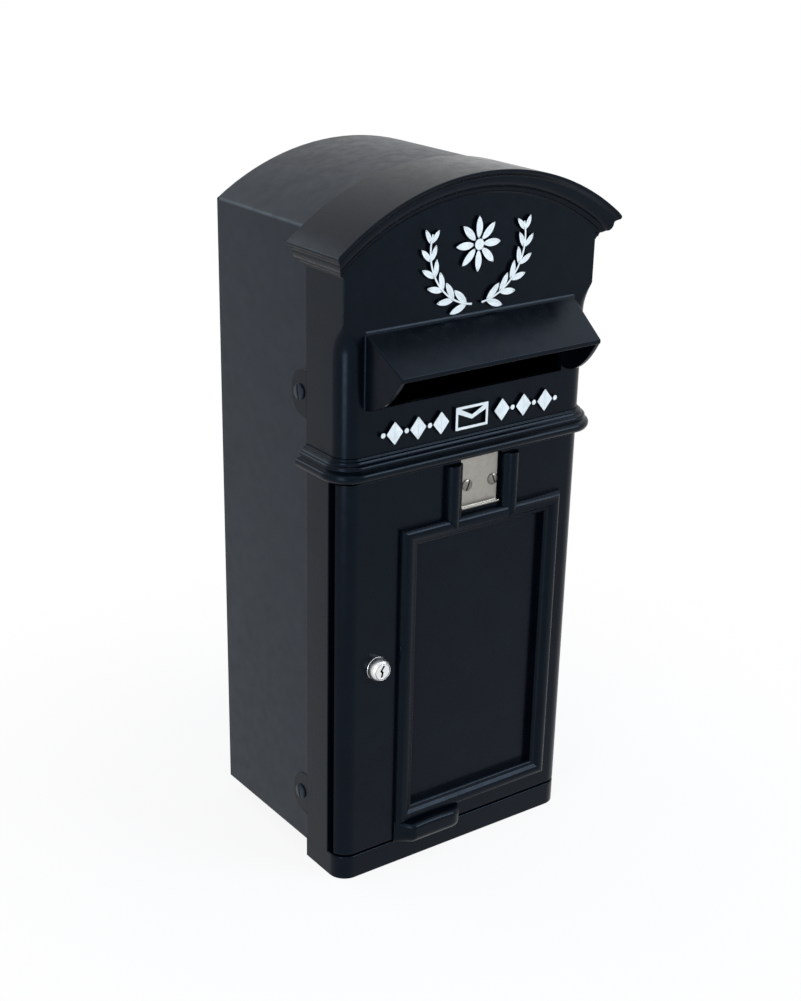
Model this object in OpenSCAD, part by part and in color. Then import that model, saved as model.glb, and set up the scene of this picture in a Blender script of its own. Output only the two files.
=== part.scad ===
// Wall letter box: a cast front with an arched cornice, a letter hood and a hinged door,
// on a folded sheet casing. Lengths are in millimetres. In the modules the front face of the
// castings is the plane Y = 0, the wall is on +Y, and Z = 0 is the underside of the plinth.

/* [Overall] */
// Width across the side flanges of the front casting
body_w = 240; // [230:1:280]
// Depth from the front face to the wall
box_depth = 178; // [150:1:230]
// Height of the cornice's outer top corners
corner_h = 532; // [520:1:580]
// Rise of the arched top above the cornice corners
arch_rise = 48; // [40:1:60]

/* [Front casting] */
// Wall thickness of the front casting
cast_wall = 5; // [4:0.25:6]
// Depth of the front casting's side flanges
flange_depth = 50; // [46:1:64]
// Radius of the rounded vertical corners
corner_r = 15; // [13:0.5:17]
// Height of the plinth under the door
plinth_h = 21.5; // [19:0.5:28]
// How far the plinth reaches below the sheet casing
plinth_drop = 16.5; // [12:0.5:18]
// Height of the stops where the square upper corners turn round
stop_h = 24; // [16:1:30]

/* [Cornice] */
// How far the cornice stands out from the body
cornice_out = 14; // [10:0.5:16]
// Height of the cornice moulding
cornice_drop = 19.5; // [17:0.5:22]
// How far the cornice laps over the sheet roof
cornice_lap = 3.4; // [2:0.2:8]

/* [Belt] */
// Height of the belt moulding's underside
belt_z = 354.5; // [346:0.5:362]
// Height of the belt moulding
belt_h = 20; // [18:0.5:24]
// How far the belt moulding stands out
belt_out = 10.3; // [8:0.1:12]
// Thickness of the shelf behind the belt
shelf_t = 5; // [4:0.5:7]

/* [Hood] */
// Height of the plain band between the belt and the hood
band_h = 36.5; // [32:0.5:40]
// Height of the hood where it meets the front
hood_h = 59; // [54:0.5:62]
// Width of the hood where it meets the front
hood_w = 201; // [180:1:206]
// How far the hood's lip stands out
hood_out = 39.4; // [32:0.2:46]
// How far the lip lies below the hood's top edge
hood_fall = 25.3; // [18:0.1:28]
// How much narrower each side of the lip is
hood_taper = 4.7; // [2:0.1:8]
// Wall thickness of the hood
hood_wall = 4; // [3:0.25:5]
// Width of the letter slot
slot_w = 184; // [150:1:186]
// Height of the letter slot
slot_h = 31; // [22:0.5:34]

/* [Ornament] */
// Height of the raised ornament above the face
relief = 3; // [1.5:0.25:4]
// Radius of the wreath's stems
wreath_r = 45; // [40:0.5:47]
// Length of a wreath leaf
leaf_l = 17; // [12:0.5:18]
// Width of a wreath leaf
leaf_w = 7; // [5:0.25:8]
// Radius of the rosette
rosette_r = 21; // [16:0.5:23]
// Height of the row of motifs under the hood
motif_h = 19; // [14:0.5:21]
// Width across the row of motifs under the hood
row_w = 172; // [164:1:190]

/* [Door] */
// Wall thickness of the door casting
door_wall = 4.5; // [4:0.25:5.5]
// Depth of the door's rim
door_depth = 10.5; // [9.5:0.25:12]
// Gap under the door
door_gap = 2; // [1.5:0.1:3]
// Gap over the door
door_top_gap = 1; // [0.8:0.1:2]
// Gap between the door's rim and the side flange, which the rim swings through
side_gap = 8.3; // [7.5:0.1:10]
// Depth of the sunk panel below the door's face
panel_sink = 3; // [2:0.25:4]

/* [Door moulding] */
// Width of the door's frame moulding
frame_w = 16; // [13:0.5:18]
// Height of the door's frame moulding
frame_t = 7; // [5:0.25:9]
// Width of the lock stile beside the moulding
stile_left = 54.5; // [50:0.5:60]
// Width of the hinge stile beside the moulding
stile_right = 23.5; // [16:0.5:24]
// Height of the door below the moulding
rail_low = 15; // [12:0.5:20]
// Height of the door above the moulding
rail_top = 45.5; // [42:0.5:54]

/* [Tab holder] */
// Distance of the tab holder from the middle of the box
tab_x = 13.5; // [6:0.5:20]
// Width of the tab pocket
tab_w = 41; // [36:0.5:46]
// Width of each upright beside the tab pocket
upright_w = 15.5; // [12:0.5:18]
// Height of the uprights above the face
upright_t = 9; // [7:0.25:10]
// Sheet thickness of the tab plate
tab_sheet = 1.2; // [0.8:0.1:1.5]
// Depth of the tab pocket below the door's face
tab_sink = 2; // [1.5:0.1:2.4]

/* [Handle] */
// Width of the pull lip
pull_w = 64; // [54:1:72]
// How far the pull lip stands out
pull_out = 15; // [12:0.5:18]
// Height of the pull lip's top above the door's lower edge
pull_top = 17; // [15:0.5:20]

/* [Lock] */
// Distance from the door's free edge to the lock
lock_inset = 34; // [32:0.5:38]
// Height of the lock above the door's lower edge
lock_rise = 169.5; // [120:0.5:220]
// Radius of the lock's head
lock_head_r = 9.6; // [9:0.1:11]
// How far the lock's head stands out
lock_head_t = 9.5; // [5:0.25:11]
// Radius of the lock's body
lock_body_r = 8; // [7.5:0.1:8.6]
// Radius of the turning plug
plug_r = 6; // [5:0.1:6.4]
// Thickness of the cam
cam_t = 2; // [1.5:0.1:3]
// Width of the cam
cam_w = 12; // [10:0.5:14]
// How far the cam reaches behind the side flange
cam_hold = 5; // [3:0.5:7]

/* [Hinge] */
// Radius of the hinge pins
pin_r = 2.5; // [2:0.1:2.8]
// Radius of the pin bosses on the door
boss_r = 4.8; // [4.4:0.1:5.2]
// Length of each pin inside the door
pin_in_door = 12; // [8:0.5:16]

/* [Sheet casing] */
// Sheet thickness of the casing
sheet = 1.2; // [0.8:0.1:1.6]
// How far the casing's sides lie inside the front casting's sides
casing_inset = 0.6; // [0.4:0.1:1.2]
// How far the casing's roof lies below the top of the cornice
roof_inset = 1.6; // [1.4:0.1:2.4]
// Depth of the folded rims of the back and base panels
rim_h = 12; // [8:0.5:18]
// Distance across between the wall holes
wall_dx = 160; // [120:1:180]
// Distance up between the wall holes
wall_dz = 400; // [300:1:440]
// Height of the middle of the wall holes
wall_z = 290; // [270:1:310]
// Radius of the wall holes
wall_hole_r = 3.5; // [2.5:0.1:5]
// Radius of the drain holes
drain_r = 3; // [2:0.5:4]

/* [Fastenings] */
// Depth of the lugs that lap over the casing
lug_d = 20.5; // [18:0.5:26]
// Distance of the casing screws behind the joint
screw_back = 8.5; // [8:0.25:10]
// Height of the upper casing screws
screw_hi_z = 414; // [405:1:425]
// Height of the lower casing screws
screw_lo_z = 60; // [50:1:80]
// Radius of the casing screws
screw_r = 3; // [2.5:0.25:3.5]
// Radius of the casing screws' heads
screw_head_r = 6.4; // [5.5:0.1:7]
// Height of the casing screws' heads
screw_head_t = 2.2; // [1.5:0.1:3]

/* [Hidden] */
$fn = 96;

// Small overlap that makes cuts run through
cut = 1;
// Clearance round a fastener in its hole
screw_clear = 0.2;
// Running clearance round a turning pin or plug
run_clear = 0.05;
// Clearance between folded sheets along the arch
sheet_clear = 0.1;

half_w = body_w / 2;
// The arch: one centre serves the cornice and the roof
tip_x = half_w + cornice_out;
arch_r = (tip_x * tip_x + arch_rise * arch_rise) / (2 * arch_rise);
arch_z = corner_h + arch_rise - arch_r;
field_r = arch_r - cornice_drop;

// Heights up the front
belt_top = belt_z + belt_h;
hood_z = belt_top + band_h;
hood_top = hood_z + hood_h;
stop_top = hood_top + 8.5;
slot_z = hood_z - 1;
door_z = plinth_h + door_gap;
door_top = belt_z - door_top_gap;

// Depths behind the front face
rebate_y = door_depth + side_gap;
ledge_t = 4;
ledge_back = rebate_y + ledge_t;
cam_y = ledge_back + 1.2;

// Hinge axis, inside the rounded corner of the door
hinge_reach = corner_r - boss_r - 0.2;
hinge_x = half_w - corner_r + 0.8 * hinge_reach;
hinge_y = corner_r - 0.6 * hinge_reach;
swing_room = 8;
lip_out = hinge_x - swing_room;
lip_t = 4;
washer_play = 0.05;
washer_play_top = 0.2;
pin_tip_gap = 0.5;

// Sheet casing
casing_half = half_w - casing_inset;
casing_r = arch_r - roof_inset;
casing_z = plinth_drop;
casing_back = box_depth - sheet;

// Door moulding
frame_x0 = -half_w + stile_left;
frame_x1 = half_w - stile_right;
frame_z0 = door_z + rail_low;
frame_z1 = door_top - rail_top;
lock_x = -half_w + lock_inset;
lock_z = door_z + lock_rise;
lock_pad_t = 1.5;
lock_pad_r = lock_body_r + 5.5;
nut_t = 3;
washer_t = 1;
washer_y = door_wall + lock_pad_t;
tail_half = 3;
// Stop washer of the lock and the gap between it and the lock's shell
stop_t = 1.2;
stop_gap = 0.6;
nub_half = 8;
stop_play = 3;
cam_len = lock_x + lip_out + cam_hold;

// Tab holder
tab_screw_z = (frame_z1 + door_top) / 2;
tab_screw_dx = 13;
tab_screw_r = 1.45;
tab_hole_clear = 0.05;
tab_lip = 4;
tab_low = frame_z1 + 3.2;

// The whole depth, hood and wall plane included, is centred on the origin
front_y = (hood_out - box_depth) / 2;

black = [0.09, 0.10, 0.12];
sheet_black = [0.16, 0.18, 0.21];
white = [0.85, 0.88, 0.90];
chrome = [0.80, 0.82, 0.84];
nickel = [0.62, 0.61, 0.58];
steel = [0.55, 0.56, 0.58];
brass = [0.72, 0.60, 0.33];
nylon = [0.86, 0.85, 0.80];

// Points of an elliptical arc about a centre, from angle a0 to a1
function arc(cx, cy, rx, ry, a0, a1, n = 10) =
    [for (i = [0 : n]) let (a = a0 + (a1 - a0) * i / n) [cx + rx * cos(a), cy + ry * sin(a)]];

// A cove that starts level and rises ever more steeply from 0 to 1
function cove(t) = t * t;

// Point of a curve from a to c that leaves and arrives along the lines to b
function bend(a, b, c, t) = a * (1 - t) * (1 - t) + b * 2 * t * (1 - t) + c * t * t;

// Puts a profile of points [depth, height] along X, from x0 to x1
module along_x(x0, x1) {
    translate([x0, 0, 0]) rotate([90, 0, 90]) linear_extrude(x1 - x0) children();
}

// Puts a profile of points [width, height] along Y, from y0 to y1
module along_y(y0, y1) {
    translate([0, y1, 0]) rotate([90, 0, 0]) linear_extrude(y1 - y0) children();
}

// A rod along Y
module rod_y(x, z, r, y0, y1) {
    translate([x, y0, z]) rotate([-90, 0, 0]) cylinder(r = r, h = y1 - y0);
}

// A rod along X
module rod_x(y, z, r, x0, x1) {
    translate([x0, y, z]) rotate([0, 90, 0]) cylinder(r = r, h = x1 - x0);
}

// A block between two corners
module block(x0, x1, y0, y1, z0, z1) {
    translate([x0, y0, z0]) cube([x1 - x0, y1 - y0, z1 - z0]);
}

// A block with both front vertical edges rounded
module round_block(half, r, y0, y1, z0, z1) {
    block(-half, half, y0 + r, y1, z0, z1);
    block(-half + r, half - r, y0, y1, z0, z1);
    for (side = [-1, 1]) translate([side * (half - r), y0 + r, z0]) cylinder(r = r, h = z1 - z0);
}

// A block with an arched top on the common arch centre
module arch_block(half, r, y0, y1, z0) {
    join_z = corner_h - cornice_drop - 60;
    block(-half, half, y0, y1, z0, join_z);
    intersection() {
        block(-half, half, y0, y1, join_z, corner_h + arch_rise + cut);
        rod_y(0, arch_z, r, y0, y1);
    }
}

// Both sides of the box
module both_sides() {
    for (side = [0, 1]) mirror([side, 0, 0]) children();
}

// Cornice moulding: points [stand-out, drop] from the top edge down
function cornice_line() = let (o = cornice_out, d = cornice_drop) concat(
    [[o, 0], [o * 0.97, d * 0.13], [o * 0.73, d * 0.27]],
    arc(o * 0.3, d * 0.31, o * 0.4, d * 0.42, 0, 90),
    [[o * 0.22, d * 0.77], [o * 0.2, d * 0.88], [o * 0.08, d * 0.9], [0, d]]
);

module cornice() {
    line = cornice_line();
    intersection() {
        translate([0, 0, arch_z]) rotate([-90, 0, 0]) rotate_extrude($fn = 240)
            polygon(concat(
                [[0, flange_depth + cornice_lap], [arch_r, flange_depth + cornice_lap]],
                [for (p = line) [arch_r - p[1], -p[0]]],
                [[0, 0]]
            ));
        along_y(-cornice_out - cut, flange_depth + cornice_lap)
            polygon(concat(
                [for (p = line) [half_w + p[0], corner_h - p[1]]],
                [for (i = [len(line) - 1 : -1 : 0]) [-half_w - line[i][0], corner_h - line[i][1]]],
                [[-tip_x, corner_h + arch_rise + cut], [tip_x, corner_h + arch_rise + cut]]
            ));
    }
}

// Square upper corner that runs out in a curved stop onto the rounded corner
module corner_stop() {
    r = corner_r;
    steps = 12;
    low = stop_top - stop_h;
    start = r * 0.97;
    rise = sqrt(2) * r + 0.6 - start;
    intersection() {
        block(-half_w, -half_w + r, 0, r, low, stop_top);
        translate([-half_w + r, r, 0]) rotate([0, 0, 225]) translate([0, r, 0]) rotate([90, 0, 0])
            linear_extrude(2 * r) polygon(concat(
                [[0, stop_top], [0, low]],
                [for (i = [0 : steps]) [start + rise * cove(i / steps), low + stop_h * i / steps]]
            ));
    }
}

// Upper shell: arched front wall, roof and side flanges, open at the back
module upper_shell() {
    difference() {
        union() {
            round_block(half_w, corner_r, 0, flange_depth, belt_z, stop_top);
            block(-half_w, half_w, 0, flange_depth, stop_top, corner_h - cornice_drop + cut);
            both_sides() corner_stop();
            cornice();
        }
        intersection() {
            arch_block(half_w - cast_wall, arch_r - cast_wall - cut, cast_wall, flange_depth + cut, belt_z + shelf_t);
            block(-half_w, half_w, 0, box_depth, belt_z + shelf_t, corner_h + arch_rise);
        }
        block(-half_w + cast_wall, half_w - cast_wall, ledge_back, flange_depth + cut, belt_z - cut, belt_z + shelf_t + cut);
        arch_block(casing_half + sheet_clear, casing_r + sheet_clear, flange_depth, box_depth, belt_z - cut);
        block(-slot_w / 2, slot_w / 2, -cut, cast_wall + cut, slot_z, slot_z + slot_h);
    }
}

// Belt moulding: points [stand-out, height above its underside]
function belt_line() = let (o = belt_out, h = belt_h) concat(
    [[0, 0], [o * 0.3, h * 0.07], [o * 0.86, h * 0.16]],
    arc(o * 0.8, h * 0.34, o * 0.2, h * 0.16, -60, 90, 8),
    arc(o * 0.46, h * 0.65, o * 0.22, h * 0.13, -50, 90, 8),
    [[o * 0.36, h * 0.84], [o * 0.32, h * 0.9], [o * 0.16, h * 0.91], [o * 0.12, h], [0, h]]
);

module belt() {
    inside = cast_wall / 2;
    line = concat([for (p = belt_line()) p], [[-inside, belt_h], [-inside, 0]]);
    along_x(-half_w + corner_r, half_w - corner_r)
        polygon([for (p = line) [-p[0], belt_z + p[1]]]);
    both_sides() {
        translate([half_w - corner_r, corner_r, belt_z]) rotate([0, 0, 270]) rotate_extrude(angle = 90)
            polygon([for (p = line) [corner_r + p[0], p[1]]]);
        along_y(corner_r, flange_depth)
            polygon([for (p = line) [half_w + p[0], belt_z + p[1]]]);
    }
}

// Letter hood: a sloping roof between two cheeks, open below
module hood() {
    half = hood_w / 2;
    lip_z = hood_top - hood_fall;
    lip_t = 3;
    slope = hood_fall / hood_out;
    drop = hood_wall * sqrt(1 + slope * slope);
    difference() {
        intersection() {
            along_x(-half, half) polygon(concat(
                [[cut, hood_top], [0, hood_top], [-hood_out, lip_z]],
                [for (i = [0 : 8])
                    bend([-hood_out + 0.6, lip_z - lip_t], [-hood_out * 0.53, hood_z + 1.5], [0, hood_z], i / 8)],
                [[cut, hood_z]]
            ));
            translate([0, 0, hood_z - cut]) linear_extrude(hood_h + 2 * cut) polygon([
                [-half, cut], [half, cut], [half, 0], [half - hood_taper, -hood_out],
                [-half + hood_taper, -hood_out], [-half, 0]
            ]);
        }
        intersection() {
            along_x(-half, half) polygon([
                [2 * cut, hood_top - drop], [0, hood_top - drop], [-hood_out - cut, lip_z - drop - slope * cut],
                [-hood_out - cut, hood_z - cut], [2 * cut, hood_z - cut]
            ]);
            translate([0, 0, hood_z - 2 * cut]) linear_extrude(hood_h + 3 * cut) polygon([
                [-half + hood_wall, 2 * cut], [half - hood_wall, 2 * cut], [half - hood_wall, 0],
                [half - hood_wall - hood_taper, -hood_out - cut], [-half + hood_wall + hood_taper, -hood_out - cut],
                [-half + hood_wall, 0]
            ]);
        }
    }
}

// A pointed leaf along +X, standing out of the face towards -Y
module leaf(l, w) {
    r = (l * l + w * w) / (4 * w);
    translate([l / 2, 0, 0]) rotate([90, 0, 0]) intersection() {
        translate([0, r - w / 2, -cut]) cylinder(r = r, h = relief + cut);
        translate([0, w / 2 - r, -cut]) cylinder(r = r, h = relief + cut);
    }
}

// Open wreath of leaves round a rosette
module wreath() {
    mid_z = hood_top + wreath_r + 9;
    stations = 6;
    translate([0, 0, mid_z]) {
        both_sides() {
            rotate([90, 0, 0]) translate([0, 0, -cut]) rotate([0, 0, -84]) rotate_extrude(angle = 100)
                polygon([
                    [wreath_r - 1.1, 0], [wreath_r + 1.1, 0],
                    [wreath_r + 1.1, relief + cut], [wreath_r - 1.1, relief + cut]
                ]);
            for (i = [0 : stations - 1]) {
                a = -78 + 17 * i;
                for (side = [-1, 1])
                    rotate([0, -a, 0]) translate([wreath_r, 0, 0]) rotate([0, side * 32 - 90, 0])
                        leaf(leaf_l - i, leaf_w - i * 0.4);
            }
        }
        for (i = [0 : 7]) rotate([0, 45 * i, 0]) translate([4.2, 0, 0]) leaf(rosette_r - 4.2, rosette_r * 0.36);
        rod_y(0, 0, 4.6, -relief - 0.8, cut);
    }
}

// Row of motifs under the hood: an envelope between lozenges and studs
module motif_row() {
    h = motif_h / 2;
    envelope = 16;
    bar = 2.4;
    pitch = (row_w / 2 - envelope - 4) / 3;
    translate([0, 0, belt_top + band_h / 2 - 3.5]) {
        along_y(-relief, cut) {
            difference() {
                square([2 * envelope, 2 * h], center = true);
                polygon([[-envelope + bar, -h + bar], [envelope - bar, -h + bar], [envelope - bar, h - 2.4 * bar],
                    [0, -h * 0.22], [-envelope + bar, h - 2.4 * bar]]);
                polygon([[-envelope + 2.2 * bar, h - bar], [0, h * 0.16], [envelope - 2.2 * bar, h - bar]]);
            }
            for (side = [-1, 1]) for (i = [1 : 3]) translate([side * (envelope + pitch * i - pitch * 0.36), 0])
                polygon([[-pitch * 0.36, 0], [0, h], [pitch * 0.36, 0], [0, -h]]);
        }
        for (side = [-1, 1]) for (i = [1 : 3])
            rod_y(side * (envelope + pitch * i + pitch * 0.13), 0, pitch * 0.1, -relief, cut);
    }
}

// Side flanges beside the door, each with a ledge and a stop lip turned inwards
module side_frame() {
    both_sides() {
        block(half_w - cast_wall, half_w, rebate_y, flange_depth, plinth_h - cut, belt_z + cut);
        block(lip_out - lip_t, half_w - cast_wall + cut, rebate_y, ledge_back, plinth_h - cut, belt_z + cut);
        block(lip_out - lip_t, lip_out, door_wall + 1, rebate_y + cut, door_z + door_wall + 2, door_top - door_wall - 2);
    }
}

// Plinth: a rounded box, open underneath
module plinth() {
    difference() {
        round_block(half_w, corner_r, 0, flange_depth, 0, plinth_h);
        round_block(half_w - cast_wall, corner_r - cast_wall, cast_wall, flange_depth - cast_wall, -cut, plinth_h - cast_wall);
    }
}

// Half-round lug that laps over the casing and takes a screw
module lug(z) {
    h = 39.5;
    r = (lug_d * lug_d + h * h / 4) / (2 * lug_d);
    intersection() {
        block(casing_half + sheet_clear, half_w, flange_depth - 4, flange_depth + lug_d + cut,
            z - h / 2, z + h / 2);
        rod_x(flange_depth + lug_d - r, z, r, half_w - cast_wall, half_w + cut);
    }
}

module front_casting() {
    color(black) difference() {
        union() {
            upper_shell();
            belt();
            side_frame();
            plinth();
            hood();
            both_sides() {
                lug(screw_hi_z);
                lug(screw_lo_z);
            }
        }
        translate([hinge_x, hinge_y, belt_z - cut]) cylinder(r = pin_r + run_clear, h = shelf_t + 2 * cut);
        translate([hinge_x, hinge_y, plinth_h - cast_wall - cut]) cylinder(r = pin_r + run_clear, h = cast_wall + 2 * cut);
        for (z = [screw_hi_z, screw_lo_z])
            rod_x(flange_depth + screw_back, z, screw_r + screw_clear, -half_w - cornice_out, half_w + cornice_out);
    }
    color(white) wreath();
    color(white) motif_row();
}

// Door moulding, outer slope: points [distance in from the edge, height]
function moulding_rise() = let (w = frame_w, t = frame_t) concat(
    [[0, -1], [0, t * 0.3]],
    arc(w * 0.28, t * 0.3, w * 0.28, t * 0.7, 180, 90, 6)
);

// Door moulding, inner slope down to the sunk panel
function moulding_fall() = let (w = frame_w, t = frame_t) concat(
    arc(w * 0.34, t * 0.62, w * 0.2, t * 0.38, 90, 0, 6),
    arc(w * 0.9, t * 0.5, w * 0.32, t * 0.36, 180, 258, 5),
    [[w * 0.88, 0.4], [w, 0.4], [w, -panel_sink]]
);

// A bar across a span whose two sides follow a profile, for mitred frames
function span(line, a, b, top) = concat(
    [for (p = line) [a + p[0], p[1]]],
    [[a + line[len(line) - 1][0], top], [b - line[len(line) - 1][0], top]],
    [for (i = [len(line) - 1 : -1 : 0]) [b - line[i][0], line[i][1]]]
);

// Opening of the frame, wide at the crest and narrow at the panel
function pocket(line, a, b) = concat(
    [[a + line[0][0], frame_t + 1]],
    [for (p = line) [a + p[0], p[1]]],
    [for (i = [len(line) - 1 : -1 : 0]) [b - line[i][0], line[i][1]]],
    [[b - line[0][0], frame_t + 1]]
);

// Turns a profile of [across, height] into [depth, across] or [across, depth]
function flip(points) = [for (p = points) [-p[1], p[0]]];
function lay(points) = [for (p = points) [p[0], -p[1]]];

module frame_moulding() {
    rise = moulding_rise();
    intersection() {
        translate([0, 0, frame_z0]) linear_extrude(frame_z1 - frame_z0)
            polygon(lay(span(rise, frame_x0, frame_x1, frame_t)));
        along_x(frame_x0, frame_x1) polygon(flip(span(rise, frame_z0, frame_z1, frame_t)));
    }
}

module frame_pocket() {
    fall = moulding_fall();
    intersection() {
        translate([0, 0, frame_z0]) linear_extrude(frame_z1 - frame_z0)
            polygon(lay(pocket(fall, frame_x0, frame_x1)));
        along_x(frame_x0, frame_x1) polygon(flip(pocket(fall, frame_z0, frame_z1)));
    }
}

// Uprights of the tab holder, with the same slope as the frame moulding
module tab_uprights() {
    t = upright_t;
    w = upright_w;
    rise = concat([[0, -1], [w * 0.06, t * 0.3]], arc(w * 0.3, t * 0.6, w * 0.24, t * 0.4, 180, 90, 6));
    for (side = [-1, 1]) translate([tab_x + side * (tab_w + w) / 2 - w / 2, 0, frame_z1 - frame_w * 0.5])
        linear_extrude(door_top - 1.5 - frame_z1 + frame_w * 0.5) polygon(lay(span(rise, 0, w, t)));
}

// Pull lip at the foot of the door, dished on top
module pull() {
    x0 = frame_x0;
    x1 = frame_x0 + pull_w;
    top = door_z + pull_top;
    low = door_z - 3;
    dish_r = 19;
    dish_d = 2;
    difference() {
        intersection() {
            translate([0, 0, low]) linear_extrude(top - low) polygon(concat(
                [[x0, cut], [x0, -pull_out * 0.3]],
                arc(x0 + pull_out * 0.62, -pull_out * 0.62, pull_out * 0.4, pull_out * 0.38, 200, 270, 5),
                arc(x1 - pull_out * 0.75, -pull_out * 0.35, pull_out * 0.75, pull_out * 0.65, 270, 360, 8),
                [[x1, cut]]
            ));
            along_x(x0 - cut, x1 + cut) polygon(concat(
                [[cut, top], [-pull_out, top], [-pull_out, low + 9]],
                arc(-pull_out * 0.5, low + 9, pull_out * 0.5, 7.5, 180, 270, 6),
                [[-1, low], [-1, door_z], [cut, door_z]]
            ));
        }
        rod_x(-pull_out * 0.42, top + dish_r - dish_d, dish_r, x0 + pull_w * 0.16, x1 - pull_w * 0.1);
    }
}

module door() {
    pad = panel_sink + door_wall;
    color(black) difference() {
        union() {
            difference() {
                round_block(half_w, corner_r, 0, door_depth + corner_r, door_z, door_top);
                block(-half_w - cut, half_w + cut, door_depth, door_depth + 2 * corner_r, door_z - cut, door_top + cut);
                round_block(half_w - door_wall, corner_r - door_wall, door_wall, door_depth + 2 * corner_r,
                    door_z + door_wall, door_top - door_wall);
            }
            block(frame_x0 + frame_w - door_wall, frame_x1 - frame_w + door_wall, 1, pad,
                frame_z0 + frame_w - door_wall, frame_z1 - frame_w + door_wall);
            rod_y(lock_x, lock_z, lock_pad_r, 1, door_wall + lock_pad_t);
            for (z = [door_z, door_top - pin_in_door - 1.5])
                translate([hinge_x, hinge_y, z]) cylinder(r = boss_r, h = pin_in_door + 1.5);
            frame_moulding();
            tab_uprights();
            pull();
        }
        frame_pocket();
        block(tab_x - tab_w / 2, tab_x + tab_w / 2, -frame_t, tab_sink, tab_low - 0.3, door_top + cut);
        rod_y(lock_x, lock_z, lock_body_r + screw_clear, -cut, 2 * door_wall);
        for (z = [door_z - cut, door_top - pin_in_door])
            translate([hinge_x, hinge_y, z]) cylinder(r = pin_r + run_clear, h = pin_in_door + cut);
        for (side = [-1, 1])
            rod_y(tab_x + side * tab_screw_dx, tab_screw_z, tab_screw_r + tab_hole_clear, 0, door_wall + cut);
    }
}

// Sheet wrap of the casing: both sides and the arched roof in one fold
module casing_wrap() {
    color(sheet_black) difference() {
        arch_block(casing_half, casing_r, flange_depth, casing_back, casing_z);
        arch_block(casing_half - sheet, casing_r - sheet, flange_depth - cut, casing_back + cut, casing_z - cut);
        for (z = [screw_hi_z, screw_lo_z])
            rod_x(flange_depth + screw_back, z, screw_r + screw_clear, -half_w - cut, half_w + cut);
    }
}

// Back panel with folded rims inside the wrap and four wall holes
module back_panel() {
    rim_z = casing_z + rim_h + 2;
    color(sheet_black) difference() {
        union() {
            arch_block(casing_half, casing_r, casing_back, box_depth, casing_z);
            difference() {
                arch_block(casing_half - sheet, casing_r - sheet - sheet_clear, casing_back - rim_h, casing_back, rim_z);
                arch_block(casing_half - 2 * sheet, casing_r - 2 * sheet - sheet_clear, casing_back - rim_h - cut,
                    casing_back + cut / 2, rim_z - cut);
            }
        }
        for (sx = [-1, 1]) for (sz = [-1, 1])
            rod_y(sx * wall_dx / 2, wall_z + sz * wall_dz / 2, wall_hole_r, casing_back - cut, box_depth + cut);
    }
}

// Base panel: a folded tray with drain holes
module base_panel() {
    half = casing_half - sheet;
    color(sheet_black) difference() {
        block(-half, half, flange_depth, casing_back, casing_z, casing_z + rim_h);
        block(-half + sheet, half - sheet, flange_depth + sheet, casing_back - sheet, casing_z + sheet, casing_z + rim_h + cut);
        for (sx = [-1, 1]) for (sy = [0.25, 0.75])
            translate([sx * half * 0.7, flange_depth + (casing_back - flange_depth) * sy, casing_z - cut])
                cylinder(r = drain_r, h = sheet + 2 * cut);
    }
}

// Slotted cheese-head screws through the lugs and the casing
module casing_screws() {
    color(steel) both_sides() for (z = [screw_hi_z, screw_lo_z]) {
        head = half_w;
        difference() {
            union() {
                rod_x(flange_depth + screw_back, z, screw_head_r, head, head + screw_head_t * 0.6);
                translate([head + screw_head_t * 0.6, flange_depth + screw_back, z]) rotate([0, 90, 0])
                    cylinder(r1 = screw_head_r, r2 = screw_head_r * 0.8, h = screw_head_t * 0.4);
                rod_x(flange_depth + screw_back, z, screw_r, casing_half - sheet - 9, head + cut / 2);
            }
            translate([head + screw_head_t, flange_depth + screw_back, z]) rotate([12, 0, 0])
                cube([screw_head_t, 1.6, 3 * screw_head_r], center = true);
        }
    }
}

// Hexagon nuts inside the casing
module casing_nuts() {
    color(steel) both_sides() for (z = [screw_hi_z, screw_lo_z])
        translate([casing_half - sheet - 5, flange_depth + screw_back, z]) rotate([0, 90, 0]) difference() {
            cylinder(r = screw_r * 1.92, h = 5, $fn = 6);
            translate([0, 0, -cut]) cylinder(r = screw_r + run_clear, h = 5 + 2 * cut);
        }
}

// Upper hinge pin, a plain dowel driven down through the shelf
module hinge_pin_top() {
    tip = door_top - pin_in_door + pin_tip_gap;
    color(steel) translate([hinge_x, hinge_y, tip]) cylinder(r = pin_r, h = belt_z + shelf_t - tip);
}

// Lower hinge pin, a plain dowel driven up through the plinth
module hinge_pin_bottom() {
    tip = door_z + pin_in_door - pin_tip_gap;
    low = plinth_h - cast_wall;
    color(steel) translate([hinge_x, hinge_y, low]) cylinder(r = pin_r, h = tip - low);
}

// Nylon washers that carry the door and keep it off the shelf
module hinge_washers() {
    low = [plinth_h, door_gap - washer_play];
    high = [door_top + washer_play_top, door_top_gap - washer_play_top];
    color(nylon) for (seat = [low, high])
        translate([hinge_x, hinge_y, seat[0]]) difference() {
            cylinder(r = boss_r, h = seat[1]);
            translate([0, 0, -cut]) cylinder(r = pin_r + run_clear, h = seat[1] + 2 * cut);
        }
}

// Folded tab plate with a turned-up lip along its lower edge
module tab_plate() {
    half = tab_w / 2 - 0.5;
    low = tab_low;
    top = door_top - 0.5;
    lip = tab_lip;
    s = tab_sheet;
    back = tab_sink;
    color(nickel) difference() {
        along_x(tab_x - half, tab_x + half) polygon([
            [back, top], [back, low], [back - lip - s, low], [back - lip - s, low + 3.2], [back - lip, low + 3.2],
            [back - lip, low + s], [back - s, low + s], [back - s, top]
        ]);
        for (side = [-1, 1])
            rod_y(tab_x + side * tab_screw_dx, tab_screw_z, tab_screw_r + screw_clear, back - s - cut, back + cut);
    }
}

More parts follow.
